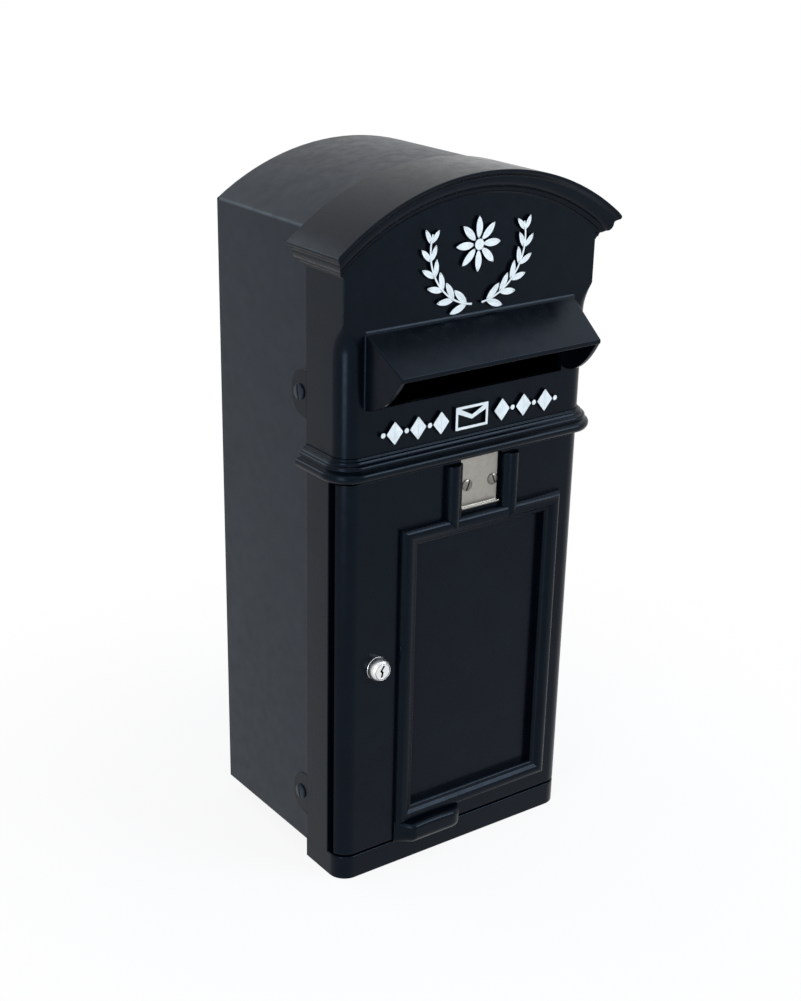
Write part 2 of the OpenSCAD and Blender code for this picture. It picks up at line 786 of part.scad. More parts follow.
// Slotted round-head screws of the tab plate
module tab_screws() {
    face = tab_sink - tab_sheet;
    color(nickel) for (side = [-1, 1]) difference() {
        union() {
            translate([tab_x + side * tab_screw_dx, face, tab_screw_z]) rotate([90, 0, 0])
                cylinder(r1 = 4.3, r2 = 2.8, h = 1.8);
            rod_y(tab_x + side * tab_screw_dx, tab_screw_z, tab_screw_r, face - 0.5, door_wall);
        }
        translate([tab_x + side * tab_screw_dx, face - 1.8, tab_screw_z]) rotate([0, side * 20, 0])
            cube([1.1, 1.6, 10], center = true);
    }
}

// Fixed shell of the cam lock: head, body, bore and the nub that stops the turn
module lock_housing() {
    body_end = cam_y - stop_t - stop_gap;
    color(chrome) difference() {
        union() {
            translate([lock_x, 0, lock_z]) rotate([90, 0, 0]) rotate_extrude() polygon([
                [0, 0], [lock_head_r, 0], [lock_head_r, lock_head_t - 1.2], [lock_head_r - 1.2, lock_head_t],
                [plug_r + 1, lock_head_t], [plug_r + 0.4, lock_head_t - 0.6], [0, lock_head_t - 0.6]
            ]);
            rod_y(lock_x, lock_z, lock_body_r, -cut, body_end);
            lock_sector(plug_r + 0.7, lock_body_r - 0.2, body_end - cut, cam_y - 0.3, -nub_half, 2 * nub_half);
        }
        rod_y(lock_x, lock_z, plug_r + run_clear, -lock_head_t - cut, cam_y + cut);
    }
}

// Part of a ring about the lock's axis, from angle a0 over a sweep towards -Z
module lock_sector(r0, r1, y0, y1, a0, sweep) {
    translate([lock_x, y0, lock_z]) rotate([-90, 0, 0]) rotate([0, 0, a0]) rotate_extrude(angle = sweep)
        translate([r0, 0]) square([r1 - r0, y1 - y0]);
}

// Spring washer under the lock nut
module lock_washer() {
    color(steel) difference() {
        rod_y(lock_x, lock_z, lock_body_r + 3, washer_y, washer_y + washer_t);
        rod_y(lock_x, lock_z, lock_body_r + screw_clear, washer_y - cut, washer_y + washer_t + cut);
    }
}

// Hexagon nut that clamps the lock to the door
module lock_nut() {
    color(brass) difference() {
        translate([lock_x, washer_y + washer_t, lock_z]) rotate([-90, 0, 0]) cylinder(r = lock_body_r * 1.6, h = nut_t, $fn = 6);
        rod_y(lock_x, lock_z, lock_body_r + run_clear, washer_y, washer_y + washer_t + nut_t + cut);
    }
}

// Turning plug with a keyway in front and a square tail behind
module lock_plug() {
    face = -lock_head_t + 0.7;
    color(chrome) difference() {
        union() {
            rod_y(lock_x, lock_z, plug_r, face, cam_y - stop_t);
            block(lock_x - tail_half, lock_x + tail_half, cam_y - stop_t - cut, cam_y + cam_t, lock_z - tail_half, lock_z + tail_half);
        }
        translate([lock_x, face, lock_z]) for (turn = [24, -24])
            rotate([0, turn, 0]) translate([-0.55, -cut, turn > 0 ? -0.4 : -3.9]) cube([1.1, 12, 4.3]);
        rod_y(lock_x, lock_z, 1.6 + run_clear, cam_y - 6, cam_y + cam_t + cut);
    }
}

// Notched washer that stops the plug after a quarter turn
module stop_washer() {
    y0 = cam_y - stop_t;
    color(steel) difference() {
        rod_y(lock_x, lock_z, lock_body_r - 0.4, y0, cam_y);
        block(lock_x - tail_half, lock_x + tail_half, y0 - cut, cam_y + cut, lock_z - tail_half, lock_z + tail_half);
        lock_sector(plug_r + 0.4, lock_body_r + cut, y0 - cut, cam_y + cut,
            -90 - nub_half - stop_play, 90 + 2 * (nub_half + stop_play));
    }
}

// Cam, hanging free of the side flange when the lock is open
module lock_cam() {
    r = cam_w / 2;
    color(steel) difference() {
        union() {
            rod_y(lock_x, lock_z, r, cam_y, cam_y + cam_t);
            block(lock_x - r, lock_x + r, cam_y, cam_y + cam_t, lock_z - cam_len, lock_z);
        }
        block(lock_x - tail_half, lock_x + tail_half, cam_y - cut, cam_y + cam_t + cut, lock_z - tail_half, lock_z + tail_half);
    }
}

// Screw that holds the cam on the plug
module cam_screw() {
    y0 = cam_y + cam_t;
    color(steel) difference() {
        union() {
            rod_y(lock_x, lock_z, 1.6, cam_y - 5, y0 + 0.5);
            rod_y(lock_x, lock_z, 5, y0, y0 + 2.4);
        }
        for (turn = [0, 90]) translate([lock_x, y0 + 2.4, lock_z]) rotate([0, turn, 0]) cube([1, 2, 5], center = true);
    }
}

// Moves a piece so that the origin lies under the middle of the whole box
module placed() {
    translate([0, front_y, 0]) children();
}

placed() front_casting();
placed() door();
placed() casing_wrap();
placed() back_panel();
placed() base_panel();
placed() casing_screws();
placed() casing_nuts();
placed() hinge_pin_top();
placed() hinge_pin_bottom();
placed() hinge_washers();
placed() tab_plate();
placed() tab_screws();
placed() lock_housing();
placed() lock_washer();
placed() lock_nut();
placed() lock_plug();
placed() stop_washer();
placed() lock_cam();
placed() cam_screw();
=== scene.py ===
"""Looks of a wall letter box: cast front with an arched cornice, hood and hinged door, on a sheet casing.

Shapes are worked out in millimetres in the face frame of the castings, where Y = 0 is the plane of
the front, the wall is on +Y and Z = 0 is the underside of the plinth, and placed in metres at the end.
"""

import math
from types import SimpleNamespace

import bmesh
import bpy
import numpy as np
from mathutils import Matrix, Vector


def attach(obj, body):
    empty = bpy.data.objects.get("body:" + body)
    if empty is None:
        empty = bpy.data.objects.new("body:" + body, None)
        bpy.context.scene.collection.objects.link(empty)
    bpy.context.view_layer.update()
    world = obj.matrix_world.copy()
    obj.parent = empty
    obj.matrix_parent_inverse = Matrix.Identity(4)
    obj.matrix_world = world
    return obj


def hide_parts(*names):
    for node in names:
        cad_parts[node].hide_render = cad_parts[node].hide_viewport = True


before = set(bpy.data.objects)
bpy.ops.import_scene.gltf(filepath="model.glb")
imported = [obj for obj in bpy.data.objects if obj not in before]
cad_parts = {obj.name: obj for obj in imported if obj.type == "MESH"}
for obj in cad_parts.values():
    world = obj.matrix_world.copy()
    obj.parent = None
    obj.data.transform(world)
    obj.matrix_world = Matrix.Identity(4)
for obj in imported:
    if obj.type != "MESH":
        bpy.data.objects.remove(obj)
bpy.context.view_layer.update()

bl_info = {
    "name": "Letter box",
    "version": (1, 0, 0),
    "blender": (4, 5, 0),
    "location": "View3D > Sidebar > Letter box",
    "description": "Builds the castings, casing, lock and tab holder of a wall letter box on its CAD frame",
    "category": "Object",
}

MM = 0.001
IMAGE_W, IMAGE_H = 801, 1001
COLOUR_A, COLOUR_B, COLOUR_OUT = 6, 7, 2  # the colour sockets of Blender's Mix node


# Sizes and colours

def length(name, description, default):
    """A length in metres with its name, description and default."""
    return bpy.props.FloatProperty(
        name=name, description=description, default=default, unit="LENGTH", precision=4)


def shade(name, description, default):
    """A colour with its name, description and default, as linear red, green and blue."""
    return bpy.props.FloatVectorProperty(
        name=name, description=description, default=default, subtype="COLOR", size=3, min=0.0, max=1.0)


class LETTERBOX_PG_sizes(bpy.types.PropertyGroup):
    body_w: length("Body width", "Width across the side flanges", 0.240)
    box_depth: length("Depth", "Depth from the front face to the wall", 0.178)
    corner_h: length("Corner height", "Height of the cornice's outer top corners", 0.532)
    arch_rise: length("Arch rise", "Rise of the arched top above its corners", 0.048)
    corner_r: length("Corner radius", "Radius of the rounded vertical corners", 0.015)
    flange_depth: length("Flange depth", "Depth of the casting's side flanges", 0.050)
    cast_wall: length("Casting wall", "Wall thickness of the front casting", 0.005)
    plinth_h: length("Plinth height", "Height of the plinth under the door", 0.0215)
    cornice_out: length("Cornice stand-out", "How far the cornice stands out", 0.014)
    cornice_drop: length("Cornice height", "Height of the cornice moulding", 0.0195)
    cornice_lap: length("Cornice lap", "How far the cornice laps over the roof", 0.0034)
    belt_z: length("Belt height", "Height of the belt moulding's underside", 0.3545)
    belt_h: length("Belt width", "Height of the belt moulding itself", 0.020)
    belt_out: length("Belt stand-out", "How far the belt moulding stands out", 0.0103)
    hood_w: length("Hood width", "Width of the letter hood at the face", 0.201)
    hood_h: length("Hood height", "Height of the letter hood at the face", 0.059)
    hood_out: length("Hood stand-out", "How far the hood's lip stands out", 0.0394)
    hood_fall: length("Hood fall", "How far the lip lies below the hood's top", 0.0253)
    hood_taper: length("Hood taper", "How much narrower each side of the lip is", 0.0047)
    relief: length("Relief", "Height of the raised ornament", 0.003)
    pull_w: length("Pull width", "Width of the pull lip on the door", 0.064)
    pull_out: length("Pull stand-out", "How far the pull lip stands out", 0.015)
    soft_edge: length("Soft edge", "Rounding of the castings' edges", 0.0009)


class LETTERBOX_PG_finishes(bpy.types.PropertyGroup):
    enamel: shade("Casting enamel", "Satin black on the castings", (0.0010, 0.0020, 0.0040))
    sheet: shade("Sheet enamel", "Satin black on the sheet casing", (0.0060, 0.0085, 0.0125))
    paint: shade("Relief paint", "White on the faces of the ornament", (0.72, 0.77, 0.80))
    nickel: shade("Nickel", "Brushed plate of the tab holder", (0.32, 0.31, 0.285))
    chrome: shade("Chrome", "Polished lock", (0.72, 0.73, 0.74))
    zinc: shade("Zinc", "Plated screws, nuts and washers", (0.56, 0.57, 0.58))
    brass: shade("Brass", "Nut of the lock", (0.60, 0.44, 0.20))
    nylon: shade("Nylon", "Washers of the hinge", (0.020, 0.020, 0.022))
    floor: shade("Floor", "Pale studio floor", (0.86, 0.87, 0.88))


def measures(context):
    """Sizes in millimetres, with the ones that follow from them: the arch has one centre, at arch_z on
    the middle line, for which the cornice's corner and the top of the arch are both at arch_r."""
    sizes = context.scene.letter_box_sizes
    m = SimpleNamespace(**{key: getattr(sizes, key) / MM for key in LETTERBOX_PG_sizes.__annotations__})
    m.half = m.body_w / 2
    m.tip_x = m.half + m.cornice_out
    m.arch_r = (m.tip_x ** 2 + m.arch_rise ** 2) / (2 * m.arch_rise)
    m.arch_z = m.corner_h + m.arch_rise - m.arch_r
    m.belt_top = m.belt_z + m.belt_h
    m.band_h = 36.5
    m.hood_z = m.belt_top + m.band_h
    m.hood_top = m.hood_z + m.hood_h
    m.stop_top = m.hood_top + 8.5
    m.stop_h = 24.0
    m.door_z0 = m.plinth_h + 2.0
    m.door_z1 = m.belt_z - 1.0
    m.door_depth = 10.5
    m.door_wall = 4.5
    m.rebate_y = m.door_depth + 8.3
    m.ledge_back = m.rebate_y + 4
    m.frame_x0, m.frame_x1 = -m.half + 54.5, m.half - 23.5
    m.frame_z0, m.frame_z1 = m.door_z0 + 15, m.door_z1 - 45.5
    m.frame_w, m.frame_t, m.panel_sink = 16.0, 7.0, 3.0
    m.tab_x, m.tab_w = 13.5, 41.0
    m.lock_x, m.lock_z = -m.half + 34, m.door_z0 + 169.5
    m.casing_half = m.half - 0.6
    m.casing_r = m.arch_r - 1.6
    m.casing_z = 16.5
    m.sheet_t = 1.2
    m.way_half = 101.0
    m.lug_z = (414.0, 60.0)
    m.screw_back = 8.5
    m.front_y = (m.hood_out - m.box_depth) / 2
    return m


# Curves and shells

def arc(cx, cz, rx, rz, a0, a1, steps=10):
    """Points of an ellipse: centre plus radius times cosine and sine of an angle that runs from a0 to a1."""
    a = np.radians(np.linspace(a0, a1, steps + 1))
    return np.stack([cx + rx * np.cos(a), cz + rz * np.sin(a)], -1)


def soften(points, reach, steps=3):
    """Each corner of a closed outline becomes a quadratic curve, which leaves and joins the two sides
    at a distance of reach from the corner, or at 0.45 of a shorter side. A reach of nil keeps the corner."""
    p = np.asarray(points, float)
    reach = np.broadcast_to(np.asarray(reach, float), len(p))
    to_last, to_next = np.roll(p, 1, 0) - p, np.roll(p, -1, 0) - p
    last_l = np.maximum(np.linalg.norm(to_last, axis=1), 1e-9)
    next_l = np.maximum(np.linalg.norm(to_next, axis=1), 1e-9)
    a = p + to_last * (np.minimum(reach, 0.45 * last_l) / last_l)[:, None]
    b = p + to_next * (np.minimum(reach, 0.45 * next_l) / next_l)[:, None]
    t = np.linspace(0, 1, steps + 1)[None, :, None]
    curves = (1 - t) ** 2 * a[:, None] + 2 * t * (1 - t) * p[:, None] + t ** 2 * b[:, None]
    kept = (reach[:, None] > 0) | (np.arange(steps + 1) == 0)
    return curves[kept]


def inset(outline, amount):
    """Moves each point of a closed outline inwards, against the normal of the chord of its neighbours."""
    p = np.asarray(outline, float)
    x, z = p[:, 0], p[:, 1]
    turn = np.sign(np.sum(x * np.roll(z, -1) - np.roll(x, -1) * z))
    along = np.roll(p, -1, 0) - np.roll(p, 1, 0)
    along /= np.maximum(np.linalg.norm(along, axis=1), 1e-9)[:, None]
    normal = np.stack([along[:, 1], -along[:, 0]], -1) * turn
    return p - normal * amount


def levels(low, high, low_r=0.0, high_r=0.0, steps=4):
    """Heights and insets of a plate's edge: a quarter circle of low_r at the bottom and of high_r on top."""
    a = np.radians(np.linspace(0, 90, steps + 1))
    rows = []
    if low_r > 0:
        rows += list(zip(low + low_r * (1 - np.sin(a)), low_r * (1 - np.cos(a))))[::-1]
    else:
        rows.append((low, 0.0))
    if high_r > 0:
        rows += list(zip(high - high_r * (1 - np.sin(a)), high_r * (1 - np.cos(a))))
    else:
        rows.append((high, 0.0))
    return rows


def plate(outline, rows):
    """Stacks a closed outline at the heights of rows, each moved in by its inset: (a, b, height) points."""
    rings = [np.column_stack([inset(outline, d), np.full(len(outline), h)]) for h, d in rows]
    return np.array(rings)


def on_face(rings):
    """Turns (a, b, height) to a piece that stands out of the front: a along X, b up, height towards -Y."""
    return np.stack([rings[..., 0], -rings[..., 2], rings[..., 1]], -1)


def on_side(rings, side):
    """Turns (a, b, height) to a piece on a side wall: a along Y, b up, height outwards along X."""
    return np.stack([side * rings[..., 2], rings[..., 0], rings[..., 1]], -1)


def at_depths(line, depths):
    """A closed outline in (x, z) repeated at a list of depths along Y."""
    return np.array([np.column_stack([line[:, 0], np.full(len(line), y), line[:, 1]]) for y in depths])


def quads(rows, cols, wrap_rows=False, wrap_cols=False):
    """Corner numbers of the four-sided faces of a grid of points, row by row."""
    r = np.arange(rows if wrap_rows else rows - 1)
    c = np.arange(cols if wrap_cols else cols - 1)
    r, c = np.meshgrid(r, c, indexing="ij")
    r1, c1 = (r + 1) % rows, (c + 1) % cols
    return np.stack([r * cols + c, r * cols + c1, r1 * cols + c1, r1 * cols + c], -1).reshape(-1, 4)


def tube(rings, loop=False, caps=True):
    """Closed loops of points joined by faces, with a flat face on both ends or the ends joined up."""
    rings = np.asarray(rings, float)
    m, n = rings.shape[:2]
    faces = quads(m, n, loop, True).tolist()
    if caps and not loop:
        faces += [list(range(n - 1, -1, -1)), list(range((m - 1) * n, m * n))]
    return rings.reshape(-1, 3), faces


def grid(points):
    """An open grid of points joined by faces."""
    points = np.asarray(points, float)
    m, n = points.shape[:2]
    return points.reshape(-1, 3), quads(m, n).tolist()


def mirrored(shell):
    """The same shell on the other side of the box."""
    points, faces = shell
    return points * np.array([-1.0, 1.0, 1.0]), [face[::-1] for face in faces]


def both(shell):
    """A shell and its mirror image."""
    return [shell, mirrored(shell)]


def lathe(profile, centre, axis, segments=72):
    """Turns a profile of (radius, height) points round an axis through centre; closed where radius is 0."""
    profile = np.asarray(profile, float)
    a = np.linspace(0, 2 * np.pi, segments, endpoint=False)
    z = np.asarray(axis, float)
    x = np.array([0.0, 0.0, 1.0]) if abs(z[2]) < 0.5 else np.array([1.0, 0.0, 0.0])
    y = np.cross(z, x)
    spoke = np.cos(a)[:, None] * x + np.sin(a)[:, None] * y
    radii, heights = profile[:, 0][:, None, None], profile[:, 1][:, None, None]
    return tube(np.asarray(centre, float) + radii * spoke + heights * z)


def turned(profile, first, second, upright, segments):
    """A closed ring: a closed profile of (radius, level) points turned round an upright axis at X = first and
    Y = second, or round a front-to-back one at X = first and Z = second."""
    a = np.linspace(0, 2 * np.pi, segments, endpoint=False)
    profile = np.array(profile)
    across = first + np.cos(a)[:, None] * profile[:, 0]
    other = second + np.sin(a)[:, None] * profile[:, 0]
    level = np.broadcast_to(profile[:, 1], across.shape)
    return tube(np.stack((across, other, level) if upright else (across, level, other), -1), loop=True)


def button(radius, height, skirt, centre, out, up, cells=56):
    """A round head whose top is a height over the disc. A square grid (u, v) goes to the disc by
    x = u sqrt(1 - v v / 2), y = v sqrt(1 - u u / 2); its rim runs on down the points of skirt, each a
    radius and a height."""
    t = np.linspace(-1, 1, cells + 1)
    u, v = np.meshgrid(t, t, indexing="ij")
    x, y = u * np.sqrt(1 - v * v / 2), v * np.sqrt(1 - u * u / 2)
    top = np.stack([x * radius, y * radius, height(x * radius, y * radius)], -1)
    side = cells + 1
    rim = np.concatenate([
        np.arange(0, cells) * side, cells * side + np.arange(0, cells),
        np.arange(cells, 0, -1) * side + cells, np.arange(cells, 0, -1)])
    points, faces = top.reshape(-1, 3), quads(side, side).tolist()
    ring = points[rim]
    spoke = ring[:, :2] / np.linalg.norm(ring[:, :2], axis=1)[:, None]
    rows = [np.column_stack([spoke * r, np.full(len(rim), h)]) for r, h in skirt]
    base = len(points)
    chain = np.vstack([rim] + [base + i * len(rim) + np.arange(len(rim)) for i in range(len(rows))])
    for a, b in zip(chain[:-1], chain[1:]):
        faces += np.stack([a, b, np.roll(b, -1), np.roll(a, -1)], -1).tolist()
    faces.append(chain[-1].tolist())
    points = np.vstack([points] + rows)
    z, y_axis = np.asarray(out, float), np.asarray(up, float)
    x_axis = np.cross(y_axis, z)
    return np.asarray(centre, float) + points @ np.stack([x_axis, y_axis, z]), faces


# Making pieces

def make_piece(m, name, shells, materials, body, nodes=(), sharp=34.0, face_slot=None, weld=0.002):
    """Joins shells given in millimetres in the face frame to one mesh in metres, with its points welded within
    a distance and its faces turned outwards, smooth but for edges sharper than an angle. It rides on a body of
    the frame, and face_slot chooses each face's material by its centre and normal."""
    start, points, faces = 0, [], []
    for shell_points, shell_faces in shells:
        points.append(shell_points)
        faces += [[start + i for i in face] for face in shell_faces]
        start += len(shell_points)
    placed = (np.vstack(points) + np.array([0.0, m.front_y, 0.0])) * MM
    mesh = bpy.data.meshes.new(name)
    mesh.from_pydata(placed.tolist(), [], faces)
    bm = bmesh.new()
    bm.from_mesh(mesh)
    bmesh.ops.remove_doubles(bm, verts=bm.verts, dist=weld * MM)
    bmesh.ops.dissolve_degenerate(bm, edges=bm.edges, dist=1e-7)
    bmesh.ops.recalc_face_normals(bm, faces=bm.faces)
    bm.to_mesh(mesh)
    bm.free()
    mesh.shade_smooth()
    mesh.set_sharp_from_angle(angle=math.radians(sharp))
    for material in materials:
        mesh.materials.append(material)
    if face_slot is not None:
        count = len(mesh.polygons)
        centre, normal = np.empty(count * 3), np.empty(count * 3)
        mesh.polygons.foreach_get("center", centre)
        mesh.polygons.foreach_get("normal", normal)
        chosen = face_slot(centre.reshape(-1, 3), normal.reshape(-1, 3))
        mesh.polygons.foreach_set("material_index", chosen.astype(int))
    piece = bpy.data.objects.new(name, mesh)
    bpy.context.scene.collection.objects.link(piece)
    weighted = piece.modifiers.new("Weighted normals", "WEIGHTED_NORMAL")
    weighted.mode = "FACE_AREA"
    weighted.keep_sharp = True
    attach(piece, body)
    if nodes:
        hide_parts(*nodes)


# Finishes

def new_finish(name):
    """A material with a shader and the object's own coordinates, or the one of that name and None."""
    old = bpy.data.materials.get(name)
    if old:
        return old, None
    material = bpy.data.materials.new(name)
    material.use_nodes = True
    tree = material.node_tree
    tree.nodes.clear()
    output = tree.nodes.new("ShaderNodeOutputMaterial")
    shader = tree.nodes.new("ShaderNodeBsdfPrincipled")
    coords = tree.nodes.new("ShaderNodeTexCoord")
    tree.links.new(shader.outputs["BSDF"], output.inputs["Surface"])
    return material, SimpleNamespace(tree=tree, shader=shader, where=coords.outputs["Object"])


def noise(t, scale, detail=3.0, rough=0.55, stretch=None):
    """Noise over the object's own coordinates, with a scale per metre and an optional stretch by axis."""
    node = t.tree.nodes.new("ShaderNodeTexNoise")
    node.inputs["Scale"].default_value = scale
    node.inputs["Detail"].default_value = detail
    node.inputs["Roughness"].default_value = rough
    where = t.where
    if stretch:
        mapping = t.tree.nodes.new("ShaderNodeMapping")
        mapping.inputs["Scale"].default_value = stretch
        t.tree.links.new(where, mapping.inputs["Vector"])
        where = mapping.outputs["Vector"]
    t.tree.links.new(where, node.inputs["Vector"])
    return node.outputs["Fac"]


def spread(t, value, low, high, start=0.3, end=0.7):
    """Maps a value from start..end to low..high."""
    node = t.tree.nodes.new("ShaderNodeMapRange")
    node.inputs["From Min"].default_value = start
    node.inputs["From Max"].default_value = end
    node.inputs["To Min"].default_value = low
    node.inputs["To Max"].default_value = high
    t.tree.links.new(value, node.inputs["Value"])
    return node.outputs["Result"]


def blend(t, factor, first, second):
    """A colour between two by a factor."""
    node = t.tree.nodes.new("ShaderNodeMix")
    node.data_type = "RGBA"
    node.inputs[COLOUR_A].default_value = (*first, 1)
    node.inputs[COLOUR_B].default_value = (*second, 1)
    t.tree.links.new(factor, node.inputs[0])
    return node.outputs[COLOUR_OUT]


def bumps(t, layers):
    """Adds up bumps, each a height, a strength and a depth in metres, into the shader's normal."""
    last = None
    for height, strength, depth in layers:
        node = t.tree.nodes.new("ShaderNodeBump")
        node.inputs["Strength"].default_value = strength
        node.inputs["Distance"].default_value = depth
        t.tree.links.new(height, node.inputs["Height"])
        if last:
            t.tree.links.new(last, node.inputs["Normal"])
        last = node.outputs["Normal"]
    t.tree.links.new(last, t.shader.inputs["Normal"])


def tinted(colour, factor):
    """A colour made lighter or darker."""
    return tuple(min(1.0, c * factor) for c in colour)


def cloudy(t, scale, detail, rough, dark, light):
    """Sets the base colour to a cloud between two shades."""
    cloud = noise(t, scale, detail, rough)
    t.tree.links.new(blend(t, spread(t, cloud, 0, 1), dark, light), t.shader.inputs["Base Color"])


def satin_enamel(name, colour, rough, grain, specular):
    """Sprayed satin enamel: faint orange peel over the cast or rolled surface, cloudy gloss, dust in the film.
    Its gloss is weak and blue head on, and white at a glancing angle."""
    material, t = new_finish(name)
    if t is None:
        return material
    cloudy(t, 38.0, 4.0, 0.6, tinted(colour, 0.8), tinted(colour, 1.3))
    t.tree.links.new(spread(t, noise(t, 90.0, 5.0, 0.6), rough - 0.05, rough + 0.06),
                     t.shader.inputs["Roughness"])
    t.shader.inputs["Specular IOR Level"].default_value = specular
    t.shader.inputs["Specular Tint"].default_value = (0.55, 0.74, 1.0, 1)
    t.shader.inputs["IOR"].default_value = 1.3
    peel, dust = noise(t, 420.0, 2.0, 0.5), noise(t, 2600.0, 2.0, 0.6)
    bumps(t, [(peel, 0.12, 0.00006 * grain), (dust, 0.1, 0.000015 * grain)])
    return material


def relief_paint(name, colour):
    """Brushed-on white with a slightly uneven film."""
    material, t = new_finish(name)
    if t is None:
        return material
    cloudy(t, 160.0, 4.0, 0.6, tinted(colour, 0.86), tinted(colour, 1.05))
    t.tree.links.new(spread(t, noise(t, 300.0), 0.38, 0.52), t.shader.inputs["Roughness"])
    t.shader.inputs["Specular IOR Level"].default_value = 0.35
    bumps(t, [(noise(t, 500.0, 3.0), 0.3, 0.0001)])
    return material


def bare_metal(name, colour, rough, grain=(1.0, 1.0, 1.0), grain_scale=700.0, depth=0.00001, tarnish=0.8):
    """Plated or bare metal: a grain that may be stretched into brush lines, with cloudy tarnish."""
    material, t = new_finish(name)
    if t is None:
        return material
    t.shader.inputs["Metallic"].default_value = 1.0
    cloudy(t, 240.0, 4.0, 0.6, tinted(colour, tarnish), tinted(colour, 1.06))
    lines = noise(t, grain_scale, 3.0, 0.6, grain)
    t.tree.links.new(spread(t, lines, rough * 0.8, rough * 1.25), t.shader.inputs["Roughness"])
    bumps(t, [(lines, 0.3, depth)])
    return material


def moulded_nylon(name, colour):
    """Waxy moulded plastic with faint flow marks."""
    material, t = new_finish(name)
    if t is None:
        return material
    flow = noise(t, 300.0, 3.0)
    t.tree.links.new(blend(t, spread(t, flow, 0, 1), tinted(colour, 0.92), colour),
                     t.shader.inputs["Base Color"])
    t.tree.links.new(spread(t, flow, 0.42, 0.55), t.shader.inputs["Roughness"])
    bumps(t, [(flow, 0.2, 0.00005)])
    return material


def finishes(context):
    """All finishes of the letter box, made once from the colours of the panel."""
    c = context.scene.letter_box_finishes
    return SimpleNamespace(
        enamel=satin_enamel("cast_enamel", tuple(c.enamel), 0.25, 1.0, 0.30),
        sheet=satin_enamel("sheet_enamel", tuple(c.sheet), 0.38, 0.6, 0.46),
        screw=satin_enamel("screw_enamel", tinted(tuple(c.sheet), 1.6), 0.30, 0.5, 0.4),
        paint=relief_paint("relief_paint", tuple(c.paint)),
        nickel=bare_metal("brushed_nickel", tuple(c.nickel), 0.42, (1.0, 1.0, 30.0), 60.0, 0.00002, 0.9),
        screw_nickel=bare_metal("screw_nickel", tinted(tuple(c.nickel), 0.62), 0.34),
        chrome=bare_metal("lock_chrome", tuple(c.chrome), 0.19, depth=0.000004, tarnish=0.9),
        satin=bare_metal("satin_chrome", tuple(c.chrome), 0.30, depth=0.000006, tarnish=0.85),
        zinc=bare_metal("zinc_plate", tuple(c.zinc), 0.36),
        brass=bare_metal("lock_brass", tuple(c.brass), 0.28),
        nylon=moulded_nylon("washer_nylon", tuple(c.nylon)),
        # painted shade: a near-black finish for the sunk keyway's faces, in place of the shadow inside the slot
        keyway=satin_enamel("keyway_painted_shade", (0.004, 0.004, 0.004), 0.6, 0.5, 0.1),
    )


# Front casting

def front_wall(m):
    """Upper wall of the casting: a plan line from the left flange round both corners to the right one,
    stacked up the height. The corner's radius falls as 1 - s squared over the stop, and the top row follows
    the arch. The same line 5 mm further in makes the inner face, and the letter slot joins the two."""
    stop_low, slot_low, slot_high, slot_half = m.stop_top - m.stop_h, m.hood_z - 1, m.hood_z + 30, 92.0
    up = np.concatenate([[m.belt_z, m.belt_top, m.hood_z - 4, slot_low, slot_high, m.hood_top - 22],
                         np.linspace(stop_low, m.stop_top, 17)])
    s = np.clip((up - stop_low) / m.stop_h, 0, 1)
    edge, side_points = 1.2, 3
    radius = m.corner_r * (1 - s ** 2)
    radius = np.sqrt(radius ** 2 + edge ** 2 * s)
    radius = np.concatenate([radius, [edge] * 4])
    rise = np.concatenate([np.zeros(len(up)), [0.1, 0.4, 0.7, 1.0]])
    up = np.concatenate([up, [m.stop_top] * 4])
    fan = np.radians(np.linspace(0, 90, 13))
    xs = np.unique(np.concatenate([np.linspace(-100, 100, 21), [-slot_half, slot_half]]))

    def line(half, y0, r, rear):
        r = r[:, None]
        corner_x, corner_y = -(half - r) - r * np.cos(fan), y0 + r * (1 - np.sin(fan))
        end_cut = np.array([0.7, 0, 0]) * (half == m.half)
        side_x = np.repeat(-half, side_points)[None] + np.zeros_like(r) + end_cut
        side_y = np.array([rear, rear - 0.9, rear * 0.6])[None] + np.zeros_like(r)
        left_x, left_y = np.hstack([side_x, corner_x]), np.hstack([side_y, corner_y])
        mid = np.broadcast_to(xs, (len(r), len(xs)))
        return (np.hstack([left_x, mid, -left_x[:, ::-1]]),
                np.hstack([left_y, np.full(mid.shape, y0), left_y[:, ::-1]]))

    ox, oy = line(m.half, 0.0, radius, m.flange_depth)
    ix, iy = line(m.half - m.cast_wall, m.cast_wall, np.full(len(up), 10.0), m.flange_depth)
    x, y = np.hstack([ox, ix[:, ::-1]]), np.hstack([oy, iy[:, ::-1]])
    crown = m.arch_z + np.sqrt((m.arch_r - 11) ** 2 - x ** 2)
    z = up[:, None] + rise[:, None] * (crown - up[:, None])
    rings = np.stack([x, y, z], -1)
    rows, cols = x.shape
    first = side_points + len(fan)
    c0, c1 = (first + int(np.where(xs == edge_x)[0][0]) for edge_x in (-slot_half, slot_half))
    r0, r1 = (int(np.where(up == edge_z)[0][0]) for edge_z in (slot_low, slot_high))
    cells = quads(rows, cols, False, True).reshape(rows - 1, cols, 4)
    keep = np.ones((rows - 1, cols), bool)
    keep[r0:r1, c0:c1] = False
    keep[r0:r1, cols - 1 - c1:cols - 1 - c0] = False
    faces = cells[keep].tolist()
    faces += [list(range(cols - 1, -1, -1)), list(range((rows - 1) * cols, rows * cols))]
    ring_rows = np.repeat([r0, r1], c1 - c0 + 1)
    ring_cols = np.concatenate([np.arange(c0, c1), [c1], np.arange(c1, c0, -1), [c0]])
    outer, inner = ring_rows * cols + ring_cols, ring_rows * cols + cols - 1 - ring_cols
    faces += np.stack([outer, np.roll(outer, -1), np.roll(inner, -1), inner], -1).tolist()
    return rings.reshape(-1, 3), faces


